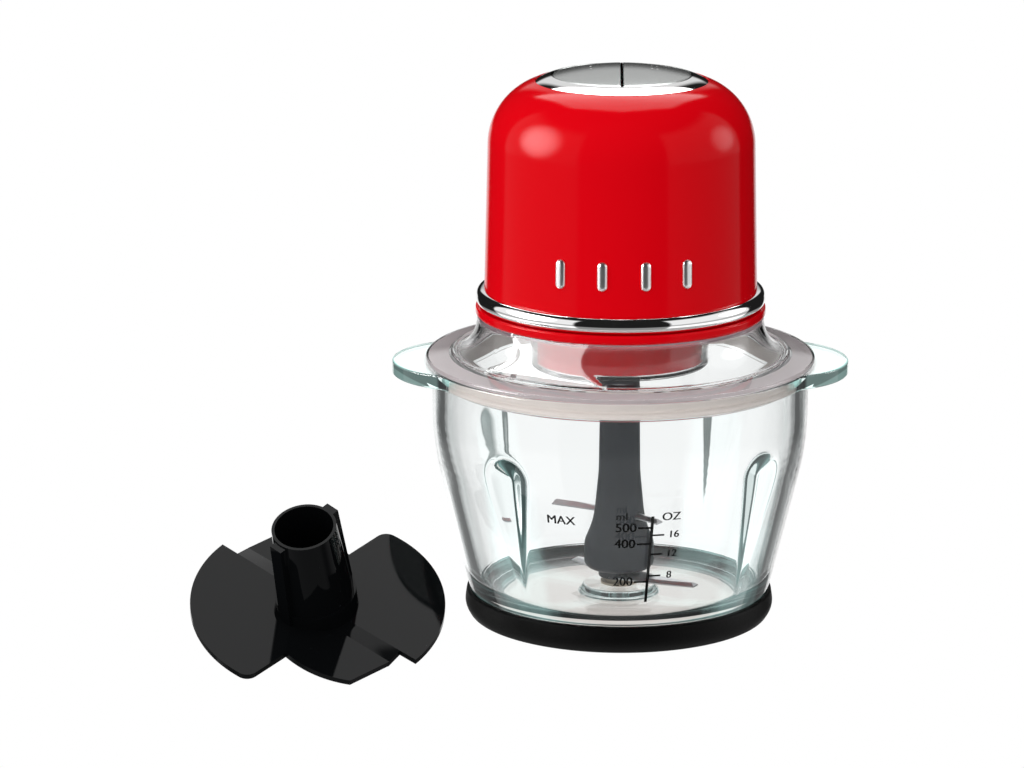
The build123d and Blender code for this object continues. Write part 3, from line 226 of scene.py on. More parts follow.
# Pressed glass: soft waves in the surface and a green tint in depth. The faint glow stands
# for the light that thick glass guides along inside, some to its ribs and most to its ears.
GLOW, RIB_GLOW, EAR_GLOW = (0.003, 0.0036, 0.0036), (0.045, 0.07, 0.068), (0.1, 0.15, 0.142)
glass = material(
    "bowl_glass", (1.0, 1.0, 1.0), 0.0, Transmission_Weight=1.0, IOR=1.5, Emission_Strength=1.0,
)
across, along = glass.place()[1:3]
reach = glass.math("SQRT", across * across + along * along)
past_rim = reach.step(0.0805, 0.0815)
inside_wall = 1.0 - reach.step(0.07, 0.072)
rib_turn = glass.math("ARCTAN2", along, across) * 4.0 - 4 * FLUTES[0]
near_rib = glass.math("COSINE", rib_turn).step(0.62, 0.8) * inside_wall
glow = glass.mix(past_rim, glass.mix(near_rib, GLOW, RIB_GLOW), EAR_GLOW)
set_input(glass, "Emission Color", glow)
set_input(glass, "Normal", glass.bump(glass.noise(9.0, 1.0, (1.0, 1.0, 0.35)), 0.0006))
tint = glass.node("ShaderNodeVolumeAbsorption", Color=(0.3, 0.83, 0.78), Density=4.0)
glass.tree.links.new(tint.outputs[0], glass.out.inputs["Volume"])
LOOKS["bowl_glass"] = glass

# Lid plastic, with the same faint glow in its upper edge, which is painted light.
LID_GLOW = (0.045, 0.033, 0.036)
clear = material(
    "lid_plastic", (0.98, 0.985, 0.985), 0.0, Transmission_Weight=1.0, IOR=1.49,
    Specular_IOR_Level=0.1, Emission_Strength=1.0,
)
upper_edge = clear.place()[3].step(0.1245, 0.1265)
# Painted light: the upper edge of the lid glows faintly.
set_input(clear, "Emission Color", clear.mix(upper_edge, (0.0, 0.0, 0.0), LID_GLOW))
LOOKS["lid_plastic"] = clear


# Profiles and surfaces


def outline(*corners, step=0.0, closed=False):
    """Points along straight sides from corner to corner, with each (x, y, radius) rounded.

    A rounding is the arc tangent to both sides, with a point about every nine degrees.
    With a step, no two neighbours lie further apart than it.
    """
    spots = [np.array(c[:2], float) for c in corners]
    made = []
    count = len(corners)
    for n, corner in enumerate(corners):
        inner = closed or 0 < n < count - 1
        radius = corner[2] if len(corner) > 2 else 0.0
        if not (radius and inner):
            made.append(spots[n])
            continue
        back = spots[n - 1] - spots[n]
        ahead = spots[(n + 1) % count] - spots[n]
        long_back, long_ahead = np.linalg.norm(back), np.linalg.norm(ahead)
        back, ahead = back / long_back, ahead / long_ahead
        turn = math.pi - math.acos(max(-1.0, min(1.0, float(back @ ahead))))
        if turn < 1e-4:
            made.append(spots[n])
            continue
        reach = min(radius * math.tan(turn / 2), 0.499 * long_back, 0.499 * long_ahead)
        radius = reach / math.tan(turn / 2)
        middle = back + ahead
        centre = spots[n] + middle / np.linalg.norm(middle) * math.hypot(radius, reach)
        first = spots[n] + back * reach - centre
        pieces = max(2, math.ceil(turn / math.radians(9)), math.ceil(turn * radius / 4))
        sign = 1.0 if back[0] * ahead[1] - back[1] * ahead[0] < 0 else -1.0
        for k in range(pieces + 1):
            a = sign * turn * k / pieces
            c, s = math.cos(a), math.sin(a)
            made.append(centre + (first[0] * c - first[1] * s, first[0] * s + first[1] * c))
    if closed:
        made.append(made[0])
    if step:
        fine = [made[0]]
        for a, b in zip(made, made[1:]):
            parts = max(1, math.ceil(np.linalg.norm(b - a) / step))
            fine.extend(a + (b - a) * (k + 1) / parts for k in range(parts))
        made = fine
    if closed:
        made = made[:-1]
    return np.array(made)


def bow(a, b, sag, parts=12):
    """Corners of a flat arc from a to b, bowed to the left of the way by sag."""
    a, b = np.array(a, float), np.array(b, float)
    side = np.array([a[1] - b[1], b[0] - a[0]]) / np.linalg.norm(b - a)
    shares = np.linspace(0, 1, parts + 1)
    return [tuple(a + (b - a) * s + side * sag * 4 * s * (1 - s)) for s in shares]


def piece(name, points, faces, body, slot, look=None, stands_for=(), sharp=40.0):
    """A shown piece from points in metres: smooth but for edges sharper than an angle."""
    mesh = bpy.data.meshes.new(name)
    mesh.from_pydata(np.asarray(points, float).tolist(), [], faces)
    mesh.update()
    mesh.shade_smooth()
    mesh.set_sharp_from_angle(angle=math.radians(sharp))
    made = bpy.data.objects.new(name, mesh)
    bpy.context.scene.collection.objects.link(made)
    mesh.materials.append((look or LOOKS[slot]).material)
    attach(made, body)
    if stands_for:
        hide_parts(*stands_for)
    return made


def grid_faces(columns, rows, wrap_rows):
    """Quads between neighbouring columns of a closed grid, seen from outside."""
    k = np.arange(columns)[:, None]
    j = np.arange(rows if wrap_rows else rows - 1)[None, :]
    after, above = (k + 1) % columns, (j + 1) % rows
    quads = np.stack(
        np.broadcast_arrays(k * rows + j, after * rows + j, after * rows + above, k * rows + above),
        axis=-1,
    )
    return quads.reshape(-1, 4).tolist()


def turned(name, profile, body, slot, bend=None, angles=None, **options):
    """A surface swept round Z from a profile of (radius, height) in millimetres.

    The profile runs with the outside on its right. One that begins and ends on the axis is
    closed by a fan at each end; any other is joined from its last point to its first.
    bend(angle, radius, height) may move the radii and heights of the whole grid.
    """
    angles = np.arange(192) * TURN / 192 if angles is None else angles
    radius, height = profile[:, 0], profile[:, 1]
    open_ends = abs(radius[0]) < 1e-6 and abs(radius[-1]) < 1e-6
    poles = [(0, 0, height[0]), (0, 0, height[-1])]
    if open_ends:
        radius, height = radius[1:-1], height[1:-1]
    a = angles[:, None]
    r = np.broadcast_to(radius[None, :], (len(angles), len(radius))).copy()
    z = np.broadcast_to(height[None, :], r.shape).copy()
    if bend:
        r, z = bend(a, r, z)
    points = np.stack([r * np.cos(a), r * np.sin(a), z], axis=-1)
    columns, rows = r.shape
    faces = grid_faces(columns, rows, not open_ends)
    points = points.reshape(-1, 3)
    if open_ends:
        first, last = len(points), len(points) + 1
        points = np.vstack([points, poles])
        for k in range(columns):
            after = (k + 1) % columns
            faces.append([first, after * rows, k * rows])
            faces.append([last, k * rows + rows - 1, after * rows + rows - 1])
    return piece(name, points * MM, faces, body, slot, **options)


def inset(shape, depth):
    """A closed outline moved inwards by a depth, each point along its corner's halving line."""
    back = shape - np.roll(shape, 1, axis=0)
    ahead = np.roll(shape, -1, axis=0) - shape
    back /= np.linalg.norm(back, axis=1)[:, None]
    ahead /= np.linalg.norm(ahead, axis=1)[:, None]
    left = np.stack([-(back + ahead)[:, 1], (back + ahead)[:, 0]], axis=-1)
    left /= np.linalg.norm(left, axis=1)[:, None]
    cosine = np.sum(left * np.stack([-ahead[:, 1], ahead[:, 0]], axis=-1), axis=1)
    return shape + left * (depth / np.maximum(cosine, 0.5))[:, None]


def pad(name, shape, levels, place, body, slot, crown=0, **options):
    """A pad raised from a closed outline that runs anticlockwise, in millimetres.

    Each level is (inset, height): the outline moved inwards and up. With a crown, that many
    rings shrink to the middle of the top and of the bottom; else both are flat faces.
    place(x, y, height) sets the points in space.
    """
    rings = [np.column_stack([inset(shape, d), np.full(len(shape), h)]) for d, h in levels]
    if crown:
        for end in (0, -1):
            edge = rings[end]
            middle = edge.mean(axis=0)
            inner = [middle + (edge - middle) * (1 - n / crown) for n in range(1, crown)]
            rings = inner[::-1] + rings if end == 0 else rings + inner
    count = len(shape)
    grid = np.stack(rings, axis=1)
    faces = grid_faces(count, len(rings), False)
    flat = grid.reshape(-1, 3)
    if crown:
        ends = [grid[:, 0].mean(axis=0), grid[:, -1].mean(axis=0)]
        flat = np.vstack([flat, ends])
        size = len(rings)
        for k in range(count):
            after = (k + 1) % count
            faces.append([count * size, after * size, k * size])
            faces.append([count * size + 1, k * size + size - 1, after * size + size - 1])
    else:
        size = len(rings)
        faces.append([k * size for k in range(count)][::-1])
        faces.append([k * size + size - 1 for k in range(count)])
    x, y, z = place(flat[:, 0], flat[:, 1], flat[:, 2])
    return piece(name, np.column_stack([x, y, z]) * MM, faces, body, slot, **options)


def soft_max(a, b, blend):
    """The larger of two values, rounded over where they meet."""
    h = np.clip(0.5 + 0.5 * (a - b) / blend, 0, 1)
    return b + (a - b) * h + blend * h * (1 - h)


def soft_min(a, b, blend):
    return -soft_max(-a, -b, blend)


def around(middle, angles):
    """Signed angle from a middle direction, from minus to plus half a turn."""
    return (angles - middle + math.pi) % TURN - math.pi


def dense_angles(middles, half_width, fine, coarse):
    """Angles round the axis, close together near some directions and further apart elsewhere."""
    stops = [0.0]
    while stops[-1] < TURN:
        near = min(abs(around(m, stops[-1])) for m in middles) < half_width
        stops.append(stops[-1] + (fine if near else coarse))
    return np.array(stops[:-1]) * TURN / stops[-1]


# Rubber mat


def build_mat():
    """Rubber ring that grips the foot of the bowl, open in the middle and soft at the edge."""
    profile = outline(
        (52.3, 0.5),
        (55.3, 0.0),
        (61.6, 0.0, 2.5),
        (64.3, 4.4, 7.0),
        (63.3, 11.2, 1.2),
        (60.1, 11.2, 0.6),
        (60.1, 3.0),
        (52.3, 3.0, 0.6),
        closed=True,
    )
    turned("mat", profile, "base", "mat_rubber", stands_for=["base_mat"])


# Glass bowl

EAR_CENTRE = 59.4
EAR_RADIUS = 34.6
BELLY_RADIUS = 77.5
RIM_RADIUS = 79.3
RIB_FOOT, RIB_CREST, RIB_LEAN = 26.0, 60.5, 5.5 / 47.0
RIB_SLOPE, RIB_ROUND = 0.8, 2.0
RIB_TOP, RIB_END = 71.0, 0.9


def bend_bowl(angle, r, z):
    """Ears on the rim and four ribs in the wall.

    The rim's radius is the larger of its own and the ear circle's, in polar form. A rib's
    crest leans from radius 60.5 at height 26 to 66 at height 73. Its wall distance is
    crest + 0.8 (sqrt(s^2 + 2^2) - 2), where s is the distance from the crest line, so
    it is a V with a round crest and a round top. The inner wall is the smaller of the two.
    """
    lean = (EAR_CENTRE * np.sin(angle)) ** 2
    reach = EAR_CENTRE * np.abs(np.cos(angle)) + np.sqrt(np.maximum(EAR_RADIUS**2 - lean, 0))
    reach = np.where(lean < EAR_RADIUS**2, reach, 0)
    grown = soft_max(reach, np.full_like(reach, RIM_RADIUS), 3.0) - RIM_RADIUS
    rim = np.clip((r - BELLY_RADIUS) / 0.2, 0, 1) * (z > 102.0)
    index = np.arange(r.shape[1])[None, :]
    inside = (index > bend_bowl.inner_first) & (z > 10.5) & (z < 100)
    crest = RIB_CREST + (z - RIB_FOOT) * RIB_LEAN
    rib = np.full_like(r, 1e3)
    for middle in FLUTES:
        across = 62.0 * around(middle, angle)
        up = np.maximum(z - RIB_TOP, 0) * RIB_END
        s = np.sqrt(across**2 + up**2)
        rib = np.minimum(rib, crest + RIB_SLOPE * (np.sqrt(s**2 + RIB_ROUND**2) - RIB_ROUND))
    ribbed = soft_min(r, rib, 1.2)
    r = np.where(inside, ribbed, r)
    return r + rim * grown, z


def build_bowl():
    """Pressed glass bowl: foot, tapered wall, belly, thick rim with two ears, boss for the pin."""
    outer = outline(
        (0.0, 3.0),
        (59.8, 3.0, 2.0),
        (59.8, 11.4, 0.5),
        (62.2, 11.4, 0.9),
        (BELLY_RADIUS, 74.8, 175.0),
        (BELLY_RADIUS, 102.5),
        (77.7, 102.5),
        (RIM_RADIUS, 102.5, 1.4),
        (RIM_RADIUS, 108.3, 1.6),
        (77.7, 108.3),
        (BELLY_RADIUS, 108.3),
        (72.5, 108.3, 1.2),
        (72.5, 100.0),
        step=6.0,
    )
    inner = outline(
        (72.5, 99.0),
        (72.5, 75.4, 170.0),
        (56.7, 10.0, 14.0),
        (20.0, 10.0),
        (16.2, 10.0, 2.0),
        (14.9, 13.0, 1.2),
        (3.02, 13.0, 0.3),
        (3.02, 6.0),
        (0.0, 6.0),
        step=1.6,
    )
    bend_bowl.inner_first = len(outer)
    angles = dense_angles(FLUTES, math.radians(11), math.radians(0.55), math.radians(2))
    profile = np.vstack([outer, inner])
    turned(
        "bowl", profile, "bowl", "bowl_glass", bend=bend_bowl, angles=angles,
        stands_for=["glass_bowl"], sharp=50,
    )


# Clear lid

FACETS = [math.radians(239), math.radians(59)]


def facet_radius(angle, z, wall):
    """Radius of the nearer flat facet at a height: its plane's distance over the cosine."""
    distance = 60.9 - (z - 111.3) * (5.2 / 16.3) - wall
    away = np.min([np.abs(around(m, angle)) for m in FACETS], axis=0)
    return distance / np.maximum(np.cos(away), 0.2)


def bend_lid(angle, r, z):
    """Cuts the two flat facets into the cone, outside and inside."""
    kind = bend_lid.kind[None, :]
    wall = np.where(kind == 2, 2.0, 0.0)
    cut = np.minimum(r, facet_radius(angle, z, wall))
    return np.where(kind > 0, cut, r), z


def build_lid():
    """Clear lid: well, deck, flared cone with two facets, flange with a lip, and a skirt."""
    cone_under = bow((57.0, 125.6), (65.3, 110.6), -2.4, 14)
    cone_over = bow((66.6, 112.4), (59.0, 127.1), 2.3, 14)
    runs = [
        (outline((8.2, 106.0), (36.6, 106.0, 1.0), (36.6, 125.6, 0.8), (56.5, 125.6)), 0),
        (np.array(cone_under), 2),
        (
            outline(
                (65.3, 110.0), (65.3, 108.3, 0.3), (67.8, 108.3, 0.3), (67.8, 99.2, 0.4),
                (70.0, 99.2, 0.4), (70.0, 108.3, 0.3), (80.1, 108.3, 0.9), (80.1, 110.3, 0.9),
                (69.6, 111.9, 0.4), (69.2, 112.6, 0.35), (68.2, 112.6, 0.35), (68.0, 111.9, 0.3),
                (67.3, 111.9, 0.4), (66.7, 112.3),
            ),
            0,
        ),
        (np.array(cone_over), 1),
        (outline((58.6, 127.55), (34.4, 127.55, 0.8), (34.4, 107.5, 1.0), (8.2, 107.5)), 0),
    ]
    profile = np.vstack([run for run, _ in runs])
    bend_lid.kind = np.concatenate([np.full(len(run), kind) for run, kind in runs])
    angles = dense_angles(FACETS, math.radians(27), math.radians(0.6), math.radians(2))
    turned(
        "lid_clear", profile, "lid", "lid_plastic", bend=bend_lid, angles=angles,
        stands_for=["lid"], sharp=28,
    )


def build_gasket():
    """Silicone band with two sealing lips on the lid's skirt, and its leaf in the flange."""
    profile = outline(
        (70.05, 100.4, 0.5), (72.2, 100.4, 0.7), (72.2, 102.7, 0.7), (71.4, 103.6, 0.5),
        (72.2, 104.6, 0.7), (72.2, 107.4, 0.7), (70.05, 107.4, 0.3), closed=True,
    )
    turned("gasket", profile, "lid", "silicone", stands_for=["lid_gasket"])
    leaf = outline((70.2, 108.5), (78.7, 108.5), (78.7, 108.8), (70.2, 108.8), closed=True)
    turned("gasket_leaf", leaf, "lid", "silicone", look=leaf_look)


# Motor head


CROWN_RADIUS, CROWN_CENTRE = 113.0, 117.0
SHOULDER, SHOULDER_RADIUS = (27.05, 198.0), 27.55
OPENING = 35.4
DOME_WALL = 2.6
CAP_RADIUS, CAP_GAP = 28.4, 0.4
BAR_REACH, BAR_PITCH, BAR_LEVEL = 55.6, 17.4, 154.7


def crown(radius):
    """Height of the crown sphere at a distance from the axis; its top is at 230."""
    return CROWN_CENTRE + np.sqrt(CROWN_RADIUS**2 - radius**2)


def dome_points():
    """Dome from the trim ring over the round shoulder to the button opening, in millimetres."""
    lean = math.atan2(SHOULDER[0], SHOULDER[1] - CROWN_CENTRE)
    arc = [
        (SHOULDER[0] + SHOULDER_RADIUS * math.sin(a), SHOULDER[1] + SHOULDER_RADIUS * math.cos(a))
        for a in np.linspace(math.pi / 2, lean, 26)
    ]
    top = [
        (CROWN_RADIUS * math.sin(a), CROWN_CENTRE + CROWN_RADIUS * math.cos(a))
        for a in np.linspace(lean, math.asin(OPENING / CROWN_RADIUS), 12)[1:]
    ]
    return [(56.0, 138.5)] + arc + top


def build_head():
    """Dome, chrome ring, skirt with its floor and boss, and bezel.

    The dome's inside is its outside moved in by the wall, and drawn in and down over the
    shoulder. The chrome ring is a flattened half circle.
    """
    skin = dome_points()
    inner = [
        (r * 0.952, z - DOME_WALL) if z > 205 else (r - DOME_WALL, z) for r, z in reversed(skin)
    ]
    profile = np.array(skin + [(OPENING, float(crown(OPENING)) - 2.4)] + inner)
    turned("dome", profile, "head", "red_plastic", stands_for=["dome_housing"], sharp=30)
    bulge = [
        (56.1 + 3.4 * math.cos(a) ** 0.8, 134.95 + 3.55 * math.sin(a))
        for a in np.linspace(-math.pi / 2 + 0.02, math.pi / 2 - 0.02, 25)
    ]
    ring = np.array([(53.4, 131.35)] + bulge + [(53.4, 138.45)])
    turned("ring", ring, "head", "chrome_plate", stands_for=["trim_ring"])
    base = outline(
        (0.0, 127.6), (4.7, 127.6), (31.5, 127.6), (31.5, 107.8, 0.7), (33.9, 107.8, 0.7),
        (33.9, 127.6), (59.6, 127.6, 1.2), (59.6, 131.3, 0.8), (53.2, 131.3), (53.2, 142.0),
        (50.6, 142.0), (50.6, 130.8), (0.0, 130.8),
    )
    turned("skirt", base, "head", "red_plastic", stands_for=["head_base"])
    inner_r = 28.7
    bezel = np.array(
        [(31.0, 219.5), (31.0, 222.0), (35.3, 222.0)]
        + [(r, 226.6 - 0.25 * (r - inner_r) - 0.0235 * (r - inner_r) ** 2)
           for r in np.linspace(35.35, inner_r, 12)]
        + [(inner_r, 219.5)]
    )
    turned("bezel", bezel, "head", "chrome_plate", stands_for=["button_bezel"], sharp=50)


def build_buttons():
    """Two half-round caps, domed with the crown, with rounded edges along the split.

    Their points lean a little to the side with depth, so that the split runs as the photo has
    it. Below the edge they reach down to the plungers.
    """
    levels = [(0.0, -12.0), (0.0, -0.5), (0.06, -0.25), (0.2, -0.08), (0.45, 0.0)]
    for side, name in ((-1, "left"), (1, "right")):
        start = -math.pi / 2 * side
        gap = math.asin(CAP_GAP / CAP_RADIUS)
        arc = [
            (CAP_RADIUS * math.cos(a), CAP_RADIUS * math.sin(a))
            for a in np.linspace(start + gap, start + math.pi - gap, 60)
        ]
        straight = [(side * CAP_GAP, y) for y in np.linspace(arc[-1][1], arc[0][1], 26)[1:-1]]
        shape = np.array(arc + straight)

        def place(x, y, h):
            return x + 0.0192 * y, y, np.where(h > -11, crown(np.hypot(x, y)) + h, 217.0)

        pad(
            f"cap_{name}", shape, levels, place, f"{name}_button", "button_chrome", crown=10,
            stands_for=[f"button_{name}"],
        )


def build_bars():
    """Four plain raised bars, rounded over, wrapped on the front of the dome."""
    half = 2.1
    ends = [(half * math.cos(a), 3.9 + half * math.sin(a)) for a in np.linspace(0, math.pi, 17)]
    shape = np.array(ends + [(-x, -y) for x, y in ends])
    levels = [(0.0, -1.0), (0.0, 0.2)]
    levels += [
        (1.9 - 1.9 * math.cos(a), 0.2 + 1.4 * math.sin(a)) for a in np.linspace(0.2, 1.5, 9)
    ]
    for n in range(4):
        turn = (n - 1.5) * BAR_PITCH / BAR_REACH

        def place(x, y, h, turn=turn):
            angle = turn + x / BAR_REACH
            reach = BAR_REACH + 0.02 - y * 0.0235 + h
            return reach * np.sin(angle), -reach * np.cos(angle), BAR_LEVEL + y

        made = pad(
            f"bar_{n + 1}", shape, levels, place, "head", "chrome_plate", crown=3, look=satin
        )
        if n == 0:
            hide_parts("front_bars")


# Blade


def bend_hub(angle, r, z):
    """Six flats over the top of the hub, where the drive grips it."""
    away = (angle + math.radians(30)) % math.radians(60) - math.radians(30)
    flat = 6.3 / np.cos(away)
    return np.where(z > 111.2, np.minimum(r, flat), r), z


def build_hub():
    """Moulded hub: collar, round body, long waist and a six-sided top."""
    profile = outline(
        (0.0, 43.3), (5.65, 43.3), (5.65, 16.2), (8.5, 16.2, 0.6),
        (8.5, 20.1, 0.5),
        (14.5, 20.1, 3.6), (14.5, 31.1, 9.0), (10.5, 40.8, 30.0), (8.6, 61.1, 60.0),
        (8.0, 111.1), (7.95, 111.3), (7.9, 118.0, 0.8), (0.0, 118.0),
    )
    turned("hub", profile, "blade", "hub_plastic", bend=bend_hub, stands_for=["blade_hub"])


def knife(name, level, root, sweep, reaches, turns):
    """A two-winged knife: each wing turns by the sweep on its way out to a blunt end."""
    for n, (reach, turn) in enumerate(zip(reaches, turns)):
        a = math.radians(turn)
        cutting = bow((0, -root), (reach, -4.5), -0.1 * reach, 14)
        back = bow((reach, -0.5), (0, root), 0.16 * reach, 14)
        shape = np.array(cutting + back)
        levels = [(0.0, 0.0), (0.0, 0.5), (1.6, 1.6)]

        def place(x, y, h, a=a, reach=reach):
            turned_by = a + math.radians(sweep) * (1 - np.hypot(x, y) / reach)
            c, s = np.cos(turned_by), np.sin(turned_by)
            return x * c - y * s, x * s + y * c, level + h

        made = pad(f"{name}_wing_{n + 1}", shape, levels, place, "blade", "blade_steel", sharp=15)
        if n == 0:
            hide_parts(name)


# Printed scale and button marks


def word(letters, size):
    """Points and faces of a word in the built-in font, centred on the origin."""
    curve = bpy.data.curves.new("word", "FONT")
    curve.body, curve.size = letters, size
    curve.align_x, curve.align_y = "CENTER", "CENTER"
    holder = bpy.data.objects.new("word", curve)
    mesh = bpy.data.meshes.new_from_object(holder)
    points = np.array([v.co[:2] for v in mesh.vertices])
    faces = [list(p.vertices) for p in mesh.polygons]
    bpy.data.objects.remove(holder)
    bpy.data.curves.remove(curve)
    bpy.data.meshes.remove(mesh)
    return points, faces


def stroke(width, height):
    """Points and the one face of an upright stroke centred on the origin."""
    x, y = width / 2, height / 2
    return np.array([(-x, -y), (x, -y), (x, y), (-x, y)]), [[0, 1, 2, 3]]


def on_wall(marks):
    """Lays flat marks, each (shape, arc in degrees, height), on the bowl's outer wall.

    Each is laid twice, a fifth of a degree apart, which makes its strokes bolder. The wall's
    radius rises in proportion to height, less a square law past the belly's start.
    """
    points, faces = [], []
    twice = marks + [(shape, degrees + 0.2, height) for shape, degrees, height in marks]
    for (flat, flat_faces), degrees, height in twice:
        count = sum(len(p) for p in points)
        z = height + flat[:, 1]
        r = 62.5 + (z - 12.8) * 15 / 62 - np.maximum(z - 54.6, 0) ** 2 / 350 + 0.06
        angle = math.radians(degrees) + flat[:, 0] / 68.0
        points.append(np.column_stack([r * np.sin(angle), -r * np.cos(angle), z]))
        faces.extend([n + count for n in face] for face in flat_faces)
    return np.vstack(points) * MM, faces


def build_scale():
    """Measuring scale on the front wall: a line, ticks, plain numbers and units."""
    line, line_faces = stroke(0.95, 38.2)
    line[:, 0] += line[:, 1] * 0.03
    marks = [((line, line_faces), 8.45, 41.8)]
    for label, height in (("500", 55.9), ("400", 48.75), ("200", 31.8)):
        marks.append((stroke(5.2, 0.85), 6.75 - (56 - height) * 0.035, height))
        marks.append((word(label, 5.4), 0.6 - (56 - height) * 0.035, height))
    for label, height in (("16", 52.5), ("12", 44.0), ("8", 34.4)):
        marks.append((stroke(4.6, 0.75), 10.9 - (52 - height) * 0.012, height))
        marks.append((word(label, 4.4), 16.1 - (52 - height) * 0.025, height))
    marks += [(word("ml", 4.6), -0.7, 60.9), (word("OZ", 4.9), 14.9, 60.4)]
    marks += [(word("MAX", 5.2), -20.1, 58.1)]
    points, faces = on_wall(marks)
    piece("scale_print", points, faces, "bowl", None, look=ink)


def build_marks():
    """Faint speed marks on the two buttons: one stroke and two strokes."""
    for name, places in (("left", [-12.6]), ("right", [12.2, 14.4])):
        points, faces = [], []
        for n, across in enumerate(places):
            flat, _ = stroke(0.7, 7.0)
            x, y = flat[:, 0] + across, flat[:, 1] + 2.0
            points.append(np.column_stack([x, y, crown(np.hypot(x, y)) + 0.02]))
            faces.append([4 * n + k for k in range(4)])
        piece(f"mark_{name}", np.vstack(points) * MM, faces, f"{name}_button", None, look=pale)


# Stage, camera and light


FOCAL_PIXELS, PICTURE_WIDTH, SENSOR_WIDTH = 4450, 1024, 36.0
TABLE_RADIUS, TABLE_LEVEL, TABLE_CORNERS = 0.058, -0.0003, 48


def build_camera():
    """Camera at the photo's place, and plain colours on the way to the picture."""
    data = bpy.data.cameras.new("camera")
    data.sensor_width = SENSOR_WIDTH
    data.lens = FOCAL_PIXELS / PICTURE_WIDTH * SENSOR_WIDTH
    camera = bpy.data.objects.new("camera", data)
    bpy.context.scene.collection.objects.link(camera)
    camera.location = (-0.0446, -1.7835, 0.5386)
    camera.rotation_euler = (math.radians(90 - 13.9), 0, 0)
    bpy.context.scene.camera = camera
    bpy.context.scene.view_settings.view_transform = "Standard"


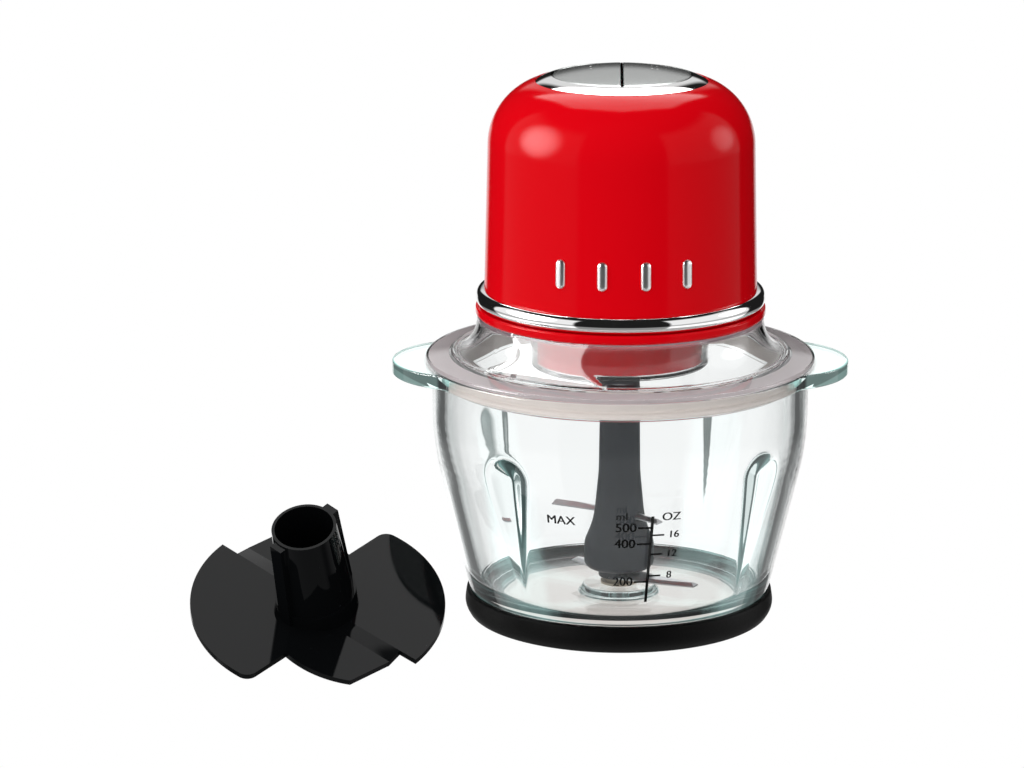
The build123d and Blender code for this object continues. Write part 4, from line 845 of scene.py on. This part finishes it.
def build_world():
    """White for the camera, and soft panels of light painted by direction for all else.

    What polished pieces mirror, what is seen through clear ones and what lights the rest are
    three brightnesses of the same room, picked by the kind of ray.
    """
    world = bpy.data.worlds.new("studio")
    bpy.context.scene.world = world
    world.use_nodes = True
    look = Look(world.node_tree)
    ray = look.node("ShaderNodeLightPath").outputs
    seen, glossy, through = (
        Value(look, ray[f"Is {kind} Ray"]) for kind in ("Camera", "Glossy", "Transmission")
    )
    lighting = Value(look, ray["Diffuse Depth"]) > 0.5
    way = look.node("ShaderNodeTexCoord").outputs["Generated"]
    split = look.node("ShaderNodeSeparateXYZ", Vector=way)
    x, y, z = (Value(look, split.outputs[n]) for n in range(3))

    def spot(across, along, up, outer, inner):
        """Round light of soft edge about a direction; the angles are in degrees."""
        near = x * across + y * along + z * up
        return near.step(math.cos(math.radians(outer)), math.cos(math.radians(inner)))

    def between(value, low, high, soft):
        """One between two limits, falling to zero over a soft edge outside them."""
        return value.step(low - soft, low) * (1.0 - value.step(high, high + soft))

    def choose(mask, yes, no):
        """The first brightness where the mask is one, the second where it is zero."""
        return mask * yes + (1.0 - mask) * no

    # Mirrored: a panel overhead and behind, two tall boxes at the sides, a wall behind, the
    # pale table below and one round lamp at each side. Side is zero towards the camera.
    side = look.math("ABSOLUTE", look.math("ARCTAN2", x, y * -1.0))
    aside = look.math("ABSOLUTE", x)
    below = z * -1.0
    overhead = (z + aside * 0.5).step(0.72, 0.76) * (y - aside * 0.6).step(-0.02, 0.05)
    overhead = overhead * (1.0 - aside.step(0.36, 0.41))
    boxes = between(side, 0.7, 2.05, 0.06) * between(z, -0.5, 0.6, 0.15)
    boxes = boxes * (1.0 - between(z, -0.27, -0.13, 0.05) * 0.5)
    behind = side.step(2.7, 2.8) * between(z, -0.6, -0.1, 0.05)
    high_back = y.step(0.0, 0.1) * z.step(0.17, 0.25) * (1.0 - aside.step(0.2, 0.28))
    table = below.step(0.27, 0.33) * 0.27 + below.step(0.66, 0.76) * 0.63
    lamps = spot(-0.93, -0.16, 0.31, 26, 2) * 21.0 + spot(0.958, 0.172, 0.232, 17, 2) * 5.0
    panels = overhead * 5.0 + boxes * 0.9 + behind * 0.95 + high_back * 0.72
    mirrored = panels + table + lamps + 0.012

    # Seen through clear pieces: bright straight ahead, dark at both sides of it, which draws
    # the dark edges of the glass, and half bright above and below.
    ahead = look.math("ABSOLUTE", look.math("ARCTAN2", x, y))
    passed = 1.0 - ahead.step(0.28, 0.46) * (1.0 - ahead.step(1.0, 1.2) * 0.6)
    passed = look.math("MAXIMUM", passed, below.step(0.42, 0.62) * 0.75)
    passed = look.math("MAXIMUM", passed, z.step(0.02, 0.12) * 0.55)
    passed = look.math("MAXIMUM", passed, 0.13)

    # Lighting: a plain level, stronger from the left, the front and above, and stronger again
    # for what stands behind clear walls.
    lit = look.math("MAXIMUM", x * -0.42 + y * -0.18 + z * 0.3 + 0.72, 0.15)

    unlit = choose(through, passed, choose(glossy, mirrored, lit))
    strength = choose(seen, 1.0, choose(lighting, lit * (1.0 + through * 1.4), unlit))
    background = look.node("ShaderNodeBackground", Color=(1, 1, 1), Strength=strength)
    look.node("ShaderNodeOutputWorld", Surface=background.outputs[0])


def build_table():
    """Pale disc under the glass, which only what looks through the glass can see. Its grey is
    painted shadow: the shade that the chopper casts on the table.
    """
    mesh = bpy.data.meshes.new("table")
    turns = [k * TURN / TABLE_CORNERS for k in range(TABLE_CORNERS)]
    corners = [
        (TABLE_RADIUS * math.cos(a), TABLE_RADIUS * math.sin(a), TABLE_LEVEL) for a in turns
    ]
    mesh.from_pydata(corners, [], [list(range(TABLE_CORNERS))])
    table = bpy.data.objects.new("table", mesh)
    bpy.context.scene.collection.objects.link(table)
    table_look = bpy.data.materials.new("table")
    table_look.use_nodes = True
    shade = Look(table_look.node_tree)
    # The disc's greyish glow is painted shadow of the chopper on the table.
    glow = shade.node("ShaderNodeEmission", Color=(0.68, 0.62, 0.59), Strength=1.0)
    shade.node("ShaderNodeOutputMaterial", Surface=glow.outputs[0])
    mesh.materials.append(table_look)
    table.visible_camera = table.visible_glossy = table.visible_diffuse = False
    table.visible_shadow = False


build_mat()
build_bowl()
build_lid()
build_gasket()
build_head()
build_buttons()
build_bars()
build_hub()
build_scale()
build_marks()
knife("upper_blade", 42.4, 3.6, 34.0, (30.4, 22.0), (159.0, 324.0))
knife("lower_blade", 17.0, 9.0, 20.0, (36.7, 27.0), (331.0, 138.0))

for name, node in nodes.items():
    node.data.materials.clear()
    node.data.materials.append(LOOKS[slots[name]].material)

build_camera()
build_world()
build_table()
